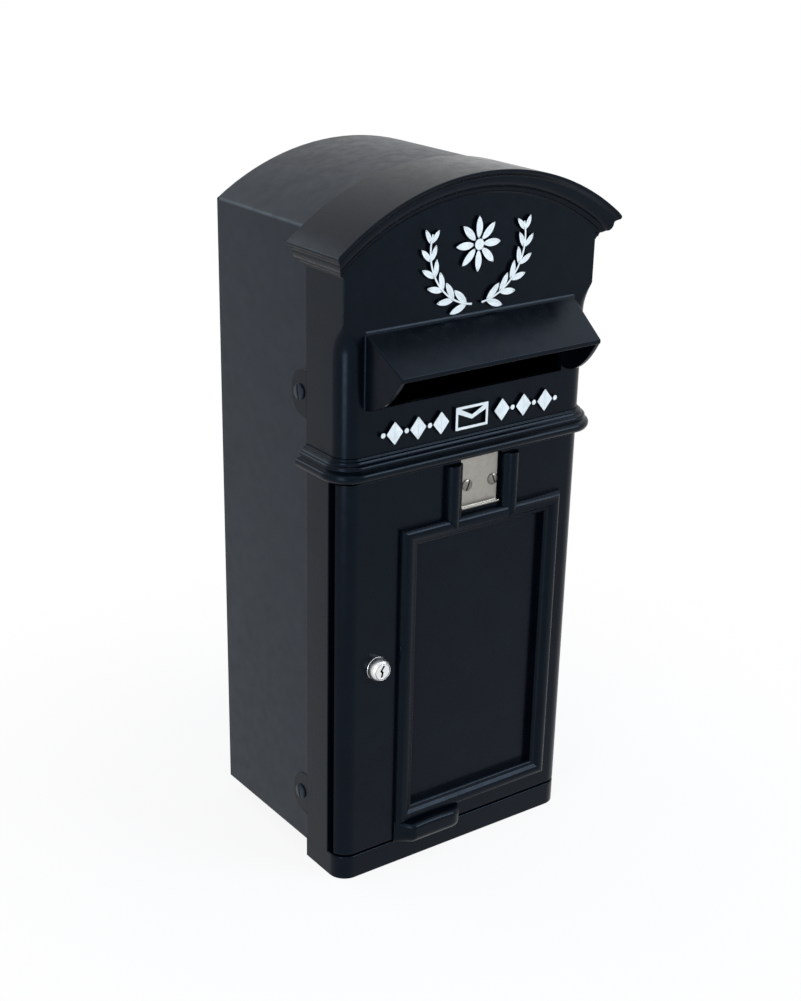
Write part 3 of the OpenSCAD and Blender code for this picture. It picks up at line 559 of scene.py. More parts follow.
def cornice_profile(m):
    """Cornice moulding from the roof's edge down, as points of stand-out and drop, its corners rounded."""
    o, d = m.cornice_out, m.cornice_drop
    line = np.vstack([[[o, 0], [o * 0.97, d * 0.13], [o * 0.73, d * 0.27]],
                      arc(o * 0.3, d * 0.31, o * 0.4, d * 0.42, 0, 90, 12),
                      [[o * 0.22, d * 0.77], [o * 0.2, d * 0.88], [o * 0.08, d * 0.9], [0, d]]])
    closed = np.vstack([[[o - 4, 0]], line, [[-2, d], [-2, 0]]])
    reach = np.concatenate([[0], [1.0, 0.7, 0.7], np.full(13, 0.25), [0.4, 0.5, 0.5, 0.0], [0, 0]])
    return soften(closed, reach, 3)[1:-2]


def cornice(m):
    """Arched cornice: each profile point (stand-out p, drop q) runs on a circle of radius arch_r - q about
    the arch's centre at Y = -p as far as the side moulding, which stands out by the same profile, and then
    straight back along the side. Roof, underside and back close the shell."""
    pq = cornice_profile(m)
    p, q = pq[:, 0], pq[:, 1]
    order = np.argsort(q)
    radius = m.arch_r - q
    end_x = m.half + p
    for _ in range(60):
        end_z = m.arch_z + np.sqrt(np.maximum(radius ** 2 - end_x ** 2, 0))
        wanted = m.half + np.interp(m.corner_h - end_z, q[order], p[order])
        end_x = 0.5 * end_x + 0.5 * np.minimum(wanted, m.tip_x)
    end_x[0] = m.tip_x - 0.7
    p = np.append(p, [-2.5, -2.5])
    radius = np.append(radius, [radius[-1], m.arch_r - 1.5])
    end_x = np.append(end_x, [m.half - 0.4, m.half - 0.4])
    end_a = np.arcsin(end_x / radius)
    back_y = m.flange_depth + m.cornice_lap
    turn = np.linspace(-1, 1, 101)
    angle = end_a[:, None] * turn
    x, z = radius[:, None] * np.sin(angle), m.arch_z + radius[:, None] * np.cos(angle)
    y = -p[:, None] + np.zeros_like(angle)
    soft = np.isclose(np.abs(turn), 1)
    x = x * np.where(soft, 1 - 0.25 / m.tip_x, 1)
    y = y + np.where(soft, 0.25, 0) * (p[:, None] > 0)
    front = np.stack([x, y, z], -1)
    run_t = np.array([0, 0.014, 0.3, 0.6, 1.0])
    side_y = -p[:, None] + (back_y + p[:, None]) * run_t
    side_x = np.repeat(end_x[:, None], len(run_t), 1)
    side_z = np.repeat((m.arch_z + np.sqrt(radius ** 2 - end_x ** 2))[:, None], len(run_t), 1)
    right = np.stack([side_x, side_y, side_z], -1)
    right[:, 0] = front[:, -1]
    left = right * np.array([-1.0, 1.0, 1.0])

    def run_back(i):
        """Row i of the front carried straight back, its two ends on the side runs."""
        size = (len(run_t), len(turn))
        rows = np.stack([np.broadcast_to(x[i], size), y[i] + (back_y - y[i]) * run_t[:, None],
                         np.broadcast_to(z[i], size)], -1)
        rows[:, -1], rows[:, 0] = right[i], left[i]
        return rows

    roof, under = run_back(0), run_back(-1)
    rear = np.stack([roof[-1], under[-1]])
    shells = [grid(front), grid(right), grid(left), grid(roof), grid(under), grid(rear)]
    for side in (right, left):
        cap = side[:, -1]
        shells.append((cap, [list(range(len(cap)))]))
    return shells


def side_cove(m):
    """Foot of the cornice's side run below the arch's end: the last of the profile, straight along the side."""
    low = m.corner_h - m.cornice_drop
    top = low + 4.6
    section = soften([[m.half - 0.5, low], [m.half + 1.1, low + 1.9], [m.half + 2.8, low + 2.4],
                      [m.half + 2.9, top], [m.half - 0.5, top]], [0, 0.5, 0.5, 0, 0])
    return tube(at_depths(section, [0.0, m.flange_depth + m.cornice_lap]))


def belt_profile(m):
    """Belt moulding from its underside up, as points of stand-out and height, its corners rounded."""
    o, h = m.belt_out, m.belt_h
    line = np.vstack([[[0, 0], [o * 0.3, h * 0.07], [o * 0.86, h * 0.16]],
                      arc(o * 0.8, h * 0.34, o * 0.2, h * 0.16, -60, 90, 12),
                      arc(o * 0.46, h * 0.65, o * 0.22, h * 0.13, -50, 90, 12),
                      [[o * 0.36, h * 0.84], [o * 0.32, h * 0.9], [o * 0.16, h * 0.91], [o * 0.12, h],
                       [0, h], [-2.5, h], [-2.5, 0]]])
    return soften(line, 0.5, 3)


def belt(m):
    """Belt moulding: the profile is carried from the left flange's end along the side, round a corner of
    radius corner_r, across the front and back along the right side, always standing out along the normal."""
    section = belt_profile(m)
    fan = np.radians(np.linspace(0, 90, 15))
    r, half = m.corner_r, m.half
    corner = np.stack([-(half - r) - r * np.cos(fan), r - r * np.sin(fan)], -1)
    normal = np.stack([-np.cos(fan), -np.sin(fan)], -1)
    left = np.vstack([[[-half, m.flange_depth], [-half, m.flange_depth - 0.8]], corner])
    left_n = np.vstack([[[-1, 0], [-1, 0]], normal])
    mid = np.stack([np.linspace(-(half - r), half - r, 9)[1:-1], np.zeros(7)], -1)
    mid_n = np.tile([0.0, -1.0], (7, 1))
    flip = np.array([-1.0, 1.0])
    path = np.vstack([left, mid, left[::-1] * flip])
    out = np.vstack([left_n, mid_n, left_n[::-1] * flip])
    stand = np.repeat(section[:, 0][None, :], len(path), 0)
    stand[0] = stand[-1] = np.maximum(section[:, 0] - 0.6, -2.5)
    xy = path[:, None, :] + stand[..., None] * out[:, None, :]
    z = np.broadcast_to(m.belt_z + section[:, 1], stand.shape)
    return tube(np.concatenate([xy, z[..., None]], -1))


def hood(m):
    """Letter hood as a stack of upside-down U sections along Y: the roof falls straight to the lip, the
    cheeks' lower edge is a quadratic curve from the lip to the hood's foot, small fillets join the face, and
    the lip is a short flat nose with rounded edges."""
    reach, wall, side_root, top_root = m.hood_out, 4.0, 1.2, 2.0
    slope = m.hood_fall / reach
    tip = reach - 0.8
    deep = np.concatenate([[-1.0, 0.0, 0.06, 0.2, 0.45, 0.8, 1.2, 1.6, 2.0], np.linspace(4, 30, 14),
                           np.linspace(31, tip, 12)])
    nose = np.radians([20, 42, 62, 76, 86])
    deep = np.concatenate([deep, tip + 0.8 * np.sin(nose)])
    into = np.maximum(deep, 0)

    def fillet(root):
        return np.where(into < root, root - np.sqrt(np.maximum(root ** 2 - (root - into) ** 2, 0)), 0.0)

    t = np.linspace(0, 1, 60)
    low_z = m.hood_top - m.hood_fall - 3
    bend_y = (1 - t) ** 2 * (reach - 0.6) + 2 * t * (1 - t) * reach * 0.53
    bend_z = (1 - t) ** 2 * low_z + 2 * t * (1 - t) * (m.hood_z + 1.5) + t ** 2 * m.hood_z
    plain = m.hood_w / 2 - m.hood_taper * into / reach
    half = plain + fillet(side_root)
    top = m.hood_top - slope * into + fillet(top_root)
    low = np.interp(into, bend_y[::-1], bend_z[::-1])
    last = len(deep) - len(nose) - 1
    mid, tall = 0.5 * (top[last] + low[last]), 0.5 * (top[last] - low[last])
    shrink = 1 - 0.45 * (1 - np.cos(nose)) ** 2
    top[last + 1:], low[last + 1:] = mid + tall * shrink - 0.25, mid - tall * shrink - 0.25
    half[last + 1:] = half[last] - 0.9 * (1 - np.cos(nose)) ** 2
    plain[last + 1:] = half[last + 1:]
    under = np.maximum(m.hood_top - slope * into - wall * math.sqrt(1 + slope ** 2), low + 0.02)
    rings = []
    for y, w, p, top_z, low_edge, u in zip(-deep, half, plain, top, low, under):
        bar = [[-w, low_edge], [-w, top_z], [w, top_z], [w, low_edge],
               [p - wall, low_edge], [p - wall, u], [wall - p, u], [wall - p, low_edge]]
        rings.append(at_depths(soften(bar, [0.8, 1.3, 1.3, 0.8, 0.8, 1.5, 1.5, 0.8], 4), [y])[0])
    return tube(rings)


def side_frames(m):
    """Flange and ledge beside the door as an L section, and the stop lip as a bar, both carried up."""
    e, near, far, wall = m.soft_edge, m.way_half, m.way_half + 4, m.half - m.cast_wall
    flange = soften([[m.half, m.rebate_y], [m.half, m.flange_depth], [wall, m.flange_depth],
                     [wall, m.ledge_back], [near, m.ledge_back], [near, m.rebate_y]], [e, e, e, 2.0, e, e])
    lip = soften([[near, 5.5], [far, 5.5], [far, m.rebate_y + 1], [near, m.rebate_y + 1]], [1.2, 1.2, 0.1, 0.1])
    return (both(tube(plate(flange, [(m.plinth_h - 1, 0), (m.belt_z + 1, 0)])))
            + both(tube(plate(lip, levels(m.door_z0 + 6.5, m.door_z1 - 6.5, 1.0, 1.0)))))


def shelf(m):
    """Shelf behind the belt: a plain bar with rounded edges."""
    end = m.half - 4
    line = soften([[-end, 3], [end, 3], [end, m.ledge_back], [-end, m.ledge_back]], 0.8)
    return tube(plate(line, levels(m.belt_z, m.belt_z + 5, 0.8, 0.8)))


def plan_line(half, r, y0, y1, steps=12):
    """Closed plan outline with both front corners rounded, the same number of points for any radius."""
    left = arc(-(half - r), y0 + r, r, r, 180, 270, steps)
    right = arc(half - r, y0 + r, r, r, 270, 360, steps)
    return np.vstack([[[-half, y1]], left, right, [[half, y1]]])


def plinth(m):
    """Plinth: a plan outline with rounded corners stacked up from the floor with a soft foot and shoulder,
    closed on top, with a hollow below."""
    w, t, foot = m.cast_wall, m.plinth_h, 0.6
    rows = [(t - w, w), (foot, w), (0.0, w - foot)] + levels(0, t, 0.8, 1.1)
    rings = []
    for z, d in rows:
        line = plan_line(m.half - d, m.corner_r - d, d, m.flange_depth - d)
        rings.append(np.column_stack([line, np.full(len(line), z)]))
    return tube(rings)


def lugs(m):
    """Lugs that lap over the casing: half of a superellipse of power 2.3, a low plate with a rounded rim."""
    shells = []
    a = np.radians(np.linspace(-90, 90, 41))
    reach, tall, power = 20.4, 19.7, 2 / 2.3
    bow = np.sign(np.cos(a)) * np.abs(np.cos(a)) ** power * reach
    rise = np.sign(np.sin(a)) * np.abs(np.sin(a)) ** power * tall
    for z in m.lug_z:
        line = np.vstack([[[m.flange_depth - 1, z - tall]], np.stack([m.flange_depth + bow, z + rise], -1),
                          [[m.flange_depth - 1, z + tall]]])
        rings = plate(line, levels(m.half - 0.55, m.half + 0.05, 0, 0.5))
        shells += both(tube(on_side(rings, 1)))
    return shells


def leaf(base_x, base_z, angle, long, wide, relief):
    """A pointed leaf lying on the face: two circular arcs as outline, a raised flat face with a sunk
    mid-rib, and sloping flanks. The cross-section is the same list of (across, height) at each station."""
    s = np.linspace(0, 1, 15)
    r = (long ** 2 + wide ** 2) / (4 * wide)
    half = np.sqrt(r ** 2 - (s * long - long / 2) ** 2) - (r - wide / 2) + 0.12
    across = np.array([-1.0, -1.0, -0.84, -0.76, -0.14, 0.0, 0.14, 0.76, 0.84, 1.0, 1.0])
    height = np.array([-1.0, 0.15, 0.86, 1.0, 0.97, 0.86, 0.97, 1.0, 0.86, 0.15, -1.0]) * relief
    swell = 0.82 + 0.18 * np.sin(np.pi * s)
    side = half[:, None] * across
    along = np.broadcast_to((s * long)[:, None], side.shape)
    tall = np.where(height[None] > 0, height[None] * swell[:, None], height[None])
    c, n = math.cos(math.radians(angle)), math.sin(math.radians(angle))
    return tube(np.stack([base_x + along * c - side * n, -tall, base_z + along * n + side * c], -1))


def wreath(m):
    """Open wreath: two stems as arcs of a flat bead, pairs of leaves at an even angle along each, and in the
    middle a rosette of eight leaves round a boss."""
    ring_r, shells = 45.0, []
    centre_z = m.hood_top + ring_r + 9
    a = np.radians(np.linspace(-84, 16, 41))
    bead = soften([[-1.1, -1], [1.1, -1], [0.8, m.relief], [-0.8, m.relief]], [0, 0, 0.4, 0.4])
    radial = ring_r + bead[:, 0]
    stem = np.stack([np.cos(a)[:, None] * radial, -np.broadcast_to(bead[:, 1], (len(a), len(bead))),
                     centre_z + np.sin(a)[:, None] * radial], -1)
    shells += both(tube(stem))
    for i in range(6):
        spot = -78 + 17 * i
        x, z = ring_r * math.cos(math.radians(spot)), ring_r * math.sin(math.radians(spot))
        for side in (-1, 1):
            shells += both(leaf(x, centre_z + z, spot + 90 - 32 * side, 17 - i, 7 - 0.4 * i, m.relief))
    heart = 4.2
    for i in range(8):
        spot = math.radians(45 * i)
        x, z = heart * math.cos(spot), centre_z + heart * math.sin(spot)
        shells.append(leaf(x, z, 45 * i, 16.8, 7.56, m.relief))
    high = m.relief + 0.8
    boss = [[0.01, -1], [4.6, -1], [4.6, m.relief], [4.2, m.relief + 0.6], [3.0, high], [0.01, high]]
    shells.append(lathe(boss, (0, 0, centre_z), (0, -1, 0), 40))
    return shells


def motif_row(m):
    """Row under the hood: an envelope, made of two mirrored halves that meet on the middle line, between
    lozenges and studs at an even pitch."""
    h, envelope, bar = 9.5, 16.0, 2.4
    mid = m.belt_top + m.band_h / 2 - 3.5
    pitch = (86 - envelope - 4) / 3
    half = [[0, -h], [-envelope, -h], [-envelope, h], [0, h], [0, h - bar], [-envelope + 2.2 * bar, h - bar],
            [0, h * 0.16], [0, -h * 0.22], [-envelope + bar, h - 2.4 * bar], [-envelope + bar, -h + bar],
            [0, -h + bar]]
    line = soften(half, [0, 0.5, 0.5, 0, 0, 0.3, 0, 0, 0.3, 0.3, 0], 2)
    on_line = np.abs(line[:, 0]) < 1e-6
    rings = plate(line, levels(-1, m.relief, 0, 0.45, 3))
    rings[:, on_line, 0] = 0
    rings[..., 1] += mid
    shells = both(tube(on_face(rings)))
    for i in range(1, 4):
        x = envelope + pitch * i - pitch * 0.36
        lozenge = soften([[x - pitch * 0.36, mid], [x, mid + h], [x + pitch * 0.36, mid], [x, mid - h]], 0.7, 3)
        shells += both(tube(on_face(plate(lozenge, levels(-1, m.relief, 0, 0.6, 3)))))
        stud = arc(envelope + pitch * (i + 0.13), mid, pitch * 0.1, pitch * 0.1, 0, 345, 23)
        shells += both(tube(on_face(plate(stud, levels(-1, m.relief, 0, 0.7, 3)))))
    return shells


# Door

def door_skin(m):
    """Door casting: a plan line that wraps both rounded corners, stacked up the height; the depth of its
    face is a field over (x, z) that drops in the tab pocket and in the sunk panel. The line turns over the
    top and bottom edges and comes back 4.5 mm further in as the hollow rear."""
    r, half, edge, hair = m.corner_r, m.half, 0.05, 0.01
    left, right = m.frame_x0 + m.frame_w, m.frame_x1 - m.frame_w
    low, high = m.frame_z0 + m.frame_w, m.frame_z1 - m.frame_w
    tab_left, tab_right, tab_low = m.tab_x - m.tab_w / 2, m.tab_x + m.tab_w / 2, m.frame_z1 + 2.9
    xs = np.unique(np.concatenate([np.linspace(-100, 100, 17), [left, left + edge, right - edge, right],
                                   [tab_left, tab_left + edge, tab_right - edge, tab_right]]))
    ends = levels(0, 0, 1.0, 0, 5)
    foot = [(m.door_z0 + z, d) for z, d in ends if d > 0 or z > 0][:6]
    head = [(m.door_z1 - z, d) for z, d in ends][:6][::-1]
    mids = [m.door_z0 + 12, low, low + edge, 120.0, 200.0, high - edge, high, tab_low - edge, tab_low, 340.0]
    rows = foot + [(z, 0.0) for z in mids] + head

    def line(radius, y0, rear_y, x_cols, fan_steps=12):
        start = math.degrees(math.asin(max(-1.0, min(1.0, (r - rear_y) / radius))))
        fan = np.radians(np.linspace(start, 90, fan_steps + 1))
        cx, cy = -(half - r) - radius * np.cos(fan), r - radius * np.sin(fan)
        middle = np.full(len(x_cols), y0)
        return np.concatenate([cx, x_cols, -cx[::-1]]), np.concatenate([cy, middle, cy[::-1]])

    face, back = [], []
    span = m.door_z1 - m.door_z0
    for zi, di in rows:
        x, y = line(r - di, di, m.door_depth, xs)
        sunk = (x > left + hair) & (x < right - hair) & (zi > low + hair) & (zi < high - hair)
        tab = (x > tab_left + hair) & (x < tab_right - hair) & (zi > tab_low - hair)
        y = np.where(sunk, m.panel_sink, np.where(tab, 2.0, y))
        face.append(np.column_stack([x, y, np.full(len(x), zi)]))
        x2, y2 = line(r - m.door_wall, m.door_wall, m.door_depth, xs)
        zb = m.door_z0 + m.door_wall + (zi - m.door_z0) * (span - 2 * m.door_wall) / span
        pad = (x2 > left - 4) & (x2 < right + 4) & (zb > low - 4) & (zb < high + 4)
        y2 = np.where(pad, m.door_wall + m.panel_sink, y2)
        back.append(np.column_stack([x2, y2, np.full(len(x2), zb)]))
    face, back = np.array(face), np.array(back)

    def at_rear(row):
        out = row.copy()
        out[:, 1] = m.door_depth
        return out

    rings = np.concatenate([face, at_rear(face[-1])[None], at_rear(back[-1])[None], back[::-1],
                            at_rear(back[0])[None], at_rear(face[0])[None]])
    count, cols = rings.shape[:2]
    faces = quads(count, cols, True, False).tolist()
    n = len(rows)
    i = np.arange(n - 1)
    for col in (0, cols - 1):
        a, b = i * cols + col, (i + 1) * cols + col
        back_a, back_b = (2 * n + 1 - i) * cols + col, (2 * n - i) * cols + col
        faces += np.stack([a, b, back_b, back_a], -1).tolist()
    return rings.reshape(-1, 3), faces


def moulding_section(width, height):
    """Section of the door's mouldings as (across, height): a quarter round on the outer side, a fall inwards
    by half a cosine wave, and a low shoulder that ends in a smaller quarter round."""
    outer = arc(6.8, 0.4, 6.8, 6.6, 180, 72, 14)
    t = np.linspace(0, 1, 9)[1:-1]
    fall = np.stack([8.9 + 4.3 * t, 6.6 - 1.3 * (1 - np.cos(np.pi * t))], -1)
    shoulder = arc(13.4, 1.4, 2.6, 2.6, 90, 4, 8)
    return np.vstack([outer, fall, shoulder]) * np.array([width / 16.0, height / 7.0])


def frame_moulding(m):
    """Door moulding: the mouldings' section as a profile of (inwards, height) that ends in a straight fall to
    the sunk panel, carried round the frame's four mitred corners."""
    w, t = m.frame_w, m.frame_t
    line = np.vstack([[[0, -1]], moulding_section(w, t), [[w, -m.panel_sink - 0.2], [w, -4.2], [0, -4.2]]])
    line = soften(line, 0.3, 3)
    corners = [(m.frame_x0, m.frame_z0, 1, 1), (m.frame_x1, m.frame_z0, -1, 1),
               (m.frame_x1, m.frame_z1, -1, -1), (m.frame_x0, m.frame_z1, 1, -1)]
    rings = [np.column_stack([x + sx * line[:, 0], -line[:, 1], z + sz * line[:, 0]])
             for x, z, sx, sz in corners]
    return tube(np.array(rings), loop=True)


def tab_uprights(m):
    """Uprights of the tab holder: the frame's section carried up to the door's top edge, its quarter round on
    the outer side, with feet cut at 45 degrees that die into the frame's slope."""
    w, t = 15.5, 8.2
    line = soften(np.vstack([[[0, -1.5]], moulding_section(w, t), [[w, -1.5]]]), 0.3, 2)
    shells = []
    for side in (-1, 1):
        middle = m.tab_x + side * (m.tab_w + w) / 2
        across = middle + side * (w / 2 - line[:, 0])
        section = np.column_stack([across, -line[:, 1]])[::-side]
        rings = plate(section, levels(m.frame_z1 - 6, m.door_z1 - 1.5, 0, 0.8))
        rings[0, :, 2] = m.frame_z1 - np.minimum(line[::-side, 0], 9.5)
        shells.append(tube(rings))
    return shells


def pull(m):
    """Pull lip as sections along X. In plan it is a straight ramp at about 45 degrees on the left, which meets
    the full depth by a logarithm of an exponential, and a quarter round on the right. The front lip rises by
    half a sine wave along X, the top is dished behind it by a sine of the depth, and the front curls under in
    a quarter ellipse."""
    x0, x1 = m.frame_x0 - 0.5, m.frame_x0 + m.pull_w
    top, low, deep = m.door_z0 + 18.2, m.door_z0 - 3, m.pull_out
    t = np.concatenate([[0, 0.004, 0.012], np.linspace(0.03, 0.27, 13), np.linspace(0.32, 0.8, 11),
                        [0.84, 0.88, 0.915, 0.945, 0.965, 0.982, 0.993, 0.998, 1.0]])
    x = x0 + (x1 - x0) * t
    start, ramp_x, blend_r = 1.6, 12.4, 0.7
    ramp = start + (x - x0) * (deep - start) / ramp_x
    left = deep - np.log1p(np.exp((deep - ramp) / blend_r)) * blend_r
    far = np.clip((x - (x1 - deep * 0.75)) / (deep * 0.75), 0, 1)
    right = deep * 0.35 + deep * 0.65 * np.sqrt(1 - far ** 2)
    depth = np.maximum(np.minimum(left, right), 1.0)
    bowl = np.clip((x - (x0 + 3)) / 7.0, 0, 1) * np.clip(((x1 - 2.5) - x) / 5.0, 0, 1)
    bowl = bowl * bowl * (3 - 2 * bowl)
    front_fall = 1.6 - 1.2 * np.sin(np.pi * np.clip((x - x0 - 8) / (x1 - x0 - 14), 0, 1))
    across = np.linspace(0, 1, 17)
    step = across * across * (3 - 2 * across)
    rings = []
    for d, hollow, fall in zip(depth, bowl, front_fall):
        y = -d * across
        lip = np.clip(-y / deep, 0, 1)
        dish = np.sin(np.pi * np.clip(across * 0.96, 0, 1)) ** 1.4
        sag = fall * lip + 0.7 * hollow * dish * (0.4 + 0.6 * step)
        r = min(4.6, d * 0.45)
        roof = np.stack([y * (1 - r / d), top - sag], -1)[:-1]
        edge = arc(-d + r, top - sag[-1] - r, r, r, 90, 180, 7)
        under = arc(-d * 0.5, low + 9, d * 0.5, 7.5, 180, 270, 8)
        foot = [[-0.5 * min(1.0, d), low], [-0.4 * min(1.0, d), m.door_z0 - 0.2], [1.0, m.door_z0 + 0.2]]
        rings.append(np.vstack([[[1.0, top]], roof, edge, under, foot]))
    rings = np.array(rings)
    stacked = np.stack([np.broadcast_to(x[:, None], rings.shape[:2]), rings[..., 0], rings[..., 1]], -1)
    return tube(stacked)


def door_fittings(m):
    """Bosses for the hinge pins and the pad behind the lock, turned on their axes."""
    hinge_x, hinge_y, long = 113.0, 9.0, 13.5
    shells = []
    for z0, z1 in ((m.door_z0, m.door_z0 + long), (m.door_z1 - long, m.door_z1)):
        ring = [[2.55, z0 + 0.3], [2.85, z0], [4.5, z0], [4.8, z0 + 0.3],
                [4.8, z1 - 0.3], [4.5, z1], [2.85, z1], [2.55, z1 - 0.3]]
        shells.append(turned(ring, hinge_x, hinge_y, True, 40))
    pad = [[8.2, 4.0], [13.5, 4.0], [13.5, 5.6], [13.1, 6.0], [8.2, 6.0]]
    shells.append(turned(pad, m.lock_x, m.lock_z, False, 60))
    return shells


# Casing, tab holder and lock

def casing_wrap(m):
    """Sheet wrap: the line up one side, over the arch and down the other, with its folds rounded, and the
    same line one sheet further in, carried from the joint with the casting to the back panel."""
    def line(half, radius):
        fold_z = m.arch_z + math.sqrt(radius ** 2 - half ** 2)
        a = math.degrees(math.asin(half / radius))
        bow = arc(0, m.arch_z, radius, radius, 90 + a, 90 - a, 48)
        right = [[half, fold_z], [half, 400.0], [half, 200.0], [half, m.casing_z]]
        return np.vstack([[[-x, z] for x, z in right[::-1]], bow[1:-1], right])

    outer = line(m.casing_half, m.casing_r)
    inner = line(m.casing_half - m.sheet_t, m.casing_r - m.sheet_t)
    n = len(outer)
    outline = np.vstack([outer, inner[::-1]])
    reach = np.zeros(2 * n)
    reach[[3, n - 4]] = 2.6
    reach[[n + 3, 2 * n - 4]] = 1.6
    outline = soften(outline, reach, 5)
    run = [m.flange_depth + 0.05, m.flange_depth + 40, m.flange_depth + 80, m.box_depth - m.sheet_t]
    return tube(at_depths(outline, run))


def casing_screw_set(m):
    """Slotted cheese heads on the lugs with their shanks: a domed top with a slot cut across its disc."""
    shells = []
    y, radius, turn = m.flange_depth + m.screw_back, 5.9, math.radians(10)

    def top(a, b):
        dome = 2.2 - 0.55 * (a ** 2 + b ** 2) / radius ** 2
        return np.where(np.abs(a) < 0.75, np.minimum(dome, 1.0), dome)

    skirt = [(6.2, 1.35), (6.4, 1.0), (6.4, 0.0), (3.0, 0.0), (3.0, -11.5)]
    for z in m.lug_z:
        for side in (-1, 1):
            up = (0.0, math.sin(turn), math.cos(turn))
            shells.append(button(radius, top, skirt, (side * m.half, y, z), (side, 0, 0), up))
    return shells


def tab_plate(m):
    """Plate of the tab holder: a bent section of (depth, height), flat behind and rolled round in a
    lip along the lower edge, carried across the pocket."""
    low, top, s, back, lip = m.frame_z1 + 3.2, m.door_z1 - 0.5, 1.2, 2.0, 4.0
    outer = np.vstack([[[back, top], [back, low + 1.4]], arc(back - 1.4, low + 1.4, 1.4, 1.4, 0, -90, 5)[1:],
                       arc(back - lip + 0.6, low + 1.7, 1.8, 1.7, -90, -200, 8)])
    inner = np.vstack([arc(back - lip + 0.6, low + 1.7, 0.7, 0.6, -200, -90, 6),
                       [[back - s - 0.6, low + s - 0.1]], [[back - s, low + s + 0.6], [back - s, top]]])
    outline = soften(np.vstack([outer, inner]), 0.15, 2)
    half = m.tab_w / 2 - 0.5
    right = m.tab_x + half - 2.5
    xs = [m.tab_x - half, m.tab_x - half + 0.2, right - 0.2, right]
    ring = np.array([np.column_stack([np.full(len(outline), x), outline]) for x in xs])
    ring[0, :, 1:] = inset(outline, 0.15)
    ring[-1, :, 1:] = inset(outline, 0.15)
    return tube(ring)


def tab_screw_set(m):
    """Round-head slotted screws of the tab plate: a dome with a slot, each turned its own way."""
    shells = []
    z = (m.frame_z1 + m.door_z1) / 2

    def top(a, b):
        dome = 1.8 * np.sqrt(np.maximum(1 - (a ** 2 + b ** 2) / 5.1 ** 2, 0.0)) ** 0.9
        return np.where(np.abs(a) < 0.65, np.minimum(dome, 0.45), dome)

    for side, turn in ((-1, 20), (1, -20)):
        up = (math.sin(math.radians(turn)), 0.0, math.cos(math.radians(turn)))
        skirt = [(4.85, 0.35), (4.3, 0.0), (1.4, 0.0), (1.4, -3.4)]
        shells.append(button(4.8, top, skirt, (m.tab_x + side * 13, 0.8, z), (0, -1, 0), up))
    return shells


def lock_shell(m):
    """Shell of the lock: a turned head with a foot ring and a side that bulges as part of an ellipse, with a
    recess and a bore for the plug, the body behind it, and a nub for the stop washer."""
    head = 9.5
    bulge = arc(6.3, 3.0, 3.3, 6.4, 0, 66, 20)
    body = [[6.05, -22.1], [8.0, -22.1], [8.0, 0.0], [9.5, 0.0], [9.7, 0.3], [9.7, 1.3], [9.5, 1.5], [9.6, 1.8]]
    recess = [[7.4, head - 0.1], [7.2, head], [7.0, head - 0.3], [7.0, head - 2.0], [6.05, head - 2.0]]
    profile = np.vstack([body, bulge, recess]) * np.array([1.0, -1.0])
    shell = turned(profile, m.lock_x, m.lock_z, False, 96)
    nub = arc(0, 0, 6.7, 6.7, -98, -82, 6)
    nub = np.vstack([nub, arc(0, 0, 7.8, 7.8, -82, -98, 6)]) + np.array([m.lock_x, m.lock_z])
    return [shell, tube(on_face(plate(nub, [(-23.7, 0), (-21.0, 0)])))]


def near_path(a, b, path):
    """Distance of points (a, b) to a path of straight strokes: to the nearest foot point on any stroke."""
    best = np.full(np.shape(a), np.inf)
    for (ax, az), (bx, bz) in zip(path[:-1], path[1:]):
        long = (bx - ax) ** 2 + (bz - az) ** 2
        t = np.clip(((a - ax) * (bx - ax) + (b - az) * (bz - az)) / long, 0, 1)
        best = np.minimum(best, np.hypot(a - ax - t * (bx - ax), b - az - t * (bz - az)))
    return best


def lock_plug(m):
    """Turning plug: a flat head with a cranked keyway sunk in it and a shallow bevel round its rim, the
    barrel behind it and a square tail."""
    path = [(1.0, 4.3), (-1.5, 0.9), (0.0, -1.0), (-0.9, -4.2)]

    def face(a, b):
        key = near_path(a, b, path)
        sunk = np.clip((0.86 - key) / 0.16, 0, 1)
        return 9.2 - 3.2 * sunk - 0.25 * np.clip((np.hypot(a, b) - 6.2) / 0.6, 0, 1)

    skirt = [(6.55, 8.7), (6.55, 7.6), (5.95, 7.6), (5.95, -22.8), (3.0, -22.8)]
    plug = button(6.5, face, skirt, (m.lock_x, 0, m.lock_z), (0, -1, 0), (0, 0, 1), 110)
    tail = soften([[-3, -3], [3, -3], [3, 3], [-3, 3]], 0.4) + np.array([m.lock_x, m.lock_z])
    return [plug, tube(on_face(plate(tail, levels(-26.0, -21.0, 0.3, 0))))]


# Operators

def white_front(depth):
    """Face chooser: slot 1 for faces that look forwards and lie further out than a depth, else slot 0."""
    return lambda centre, normal: (normal[:, 1] < -0.6) & (centre[:, 1] < depth)


def keyway_painted_shade_faces(m):
    """Face chooser: slot 1 for the faces near the plug's middle line and behind its flat head, which get painted
    shade in the sunk keyway, else slot 0.
    """
    def chosen(centre, _):
        near = np.hypot(centre[:, 0] - m.lock_x * MM, centre[:, 2] - m.lock_z * MM) < 5.4 * MM
        return near & (np.abs(centre[:, 1] - (m.front_y - 7.3) * MM) < 1.6 * MM)

    return chosen


class LETTERBOX_OT_front_casting(bpy.types.Operator):
    """Builds the cast front: wall, cornice, belt, hood, side frames, plinth and lugs"""
    bl_idname = "letter_box.front_casting"
    bl_label = "Front casting"

    def execute(self, context):
        m, f = measures(context), finishes(context)
        shells = [front_wall(m), side_cove(m), mirrored(side_cove(m)), shelf(m), belt(m), plinth(m)]
        shells += side_frames(m) + lugs(m)
        make_piece(m, "front_body", shells, [f.enamel], "box", ("front_casting",))
        make_piece(m, "front_cornice", cornice(m), [f.enamel], "box", weld=0.004)
        make_piece(m, "front_hood", [hood(m)], [f.enamel], "box", sharp=40)
        return {"FINISHED"}


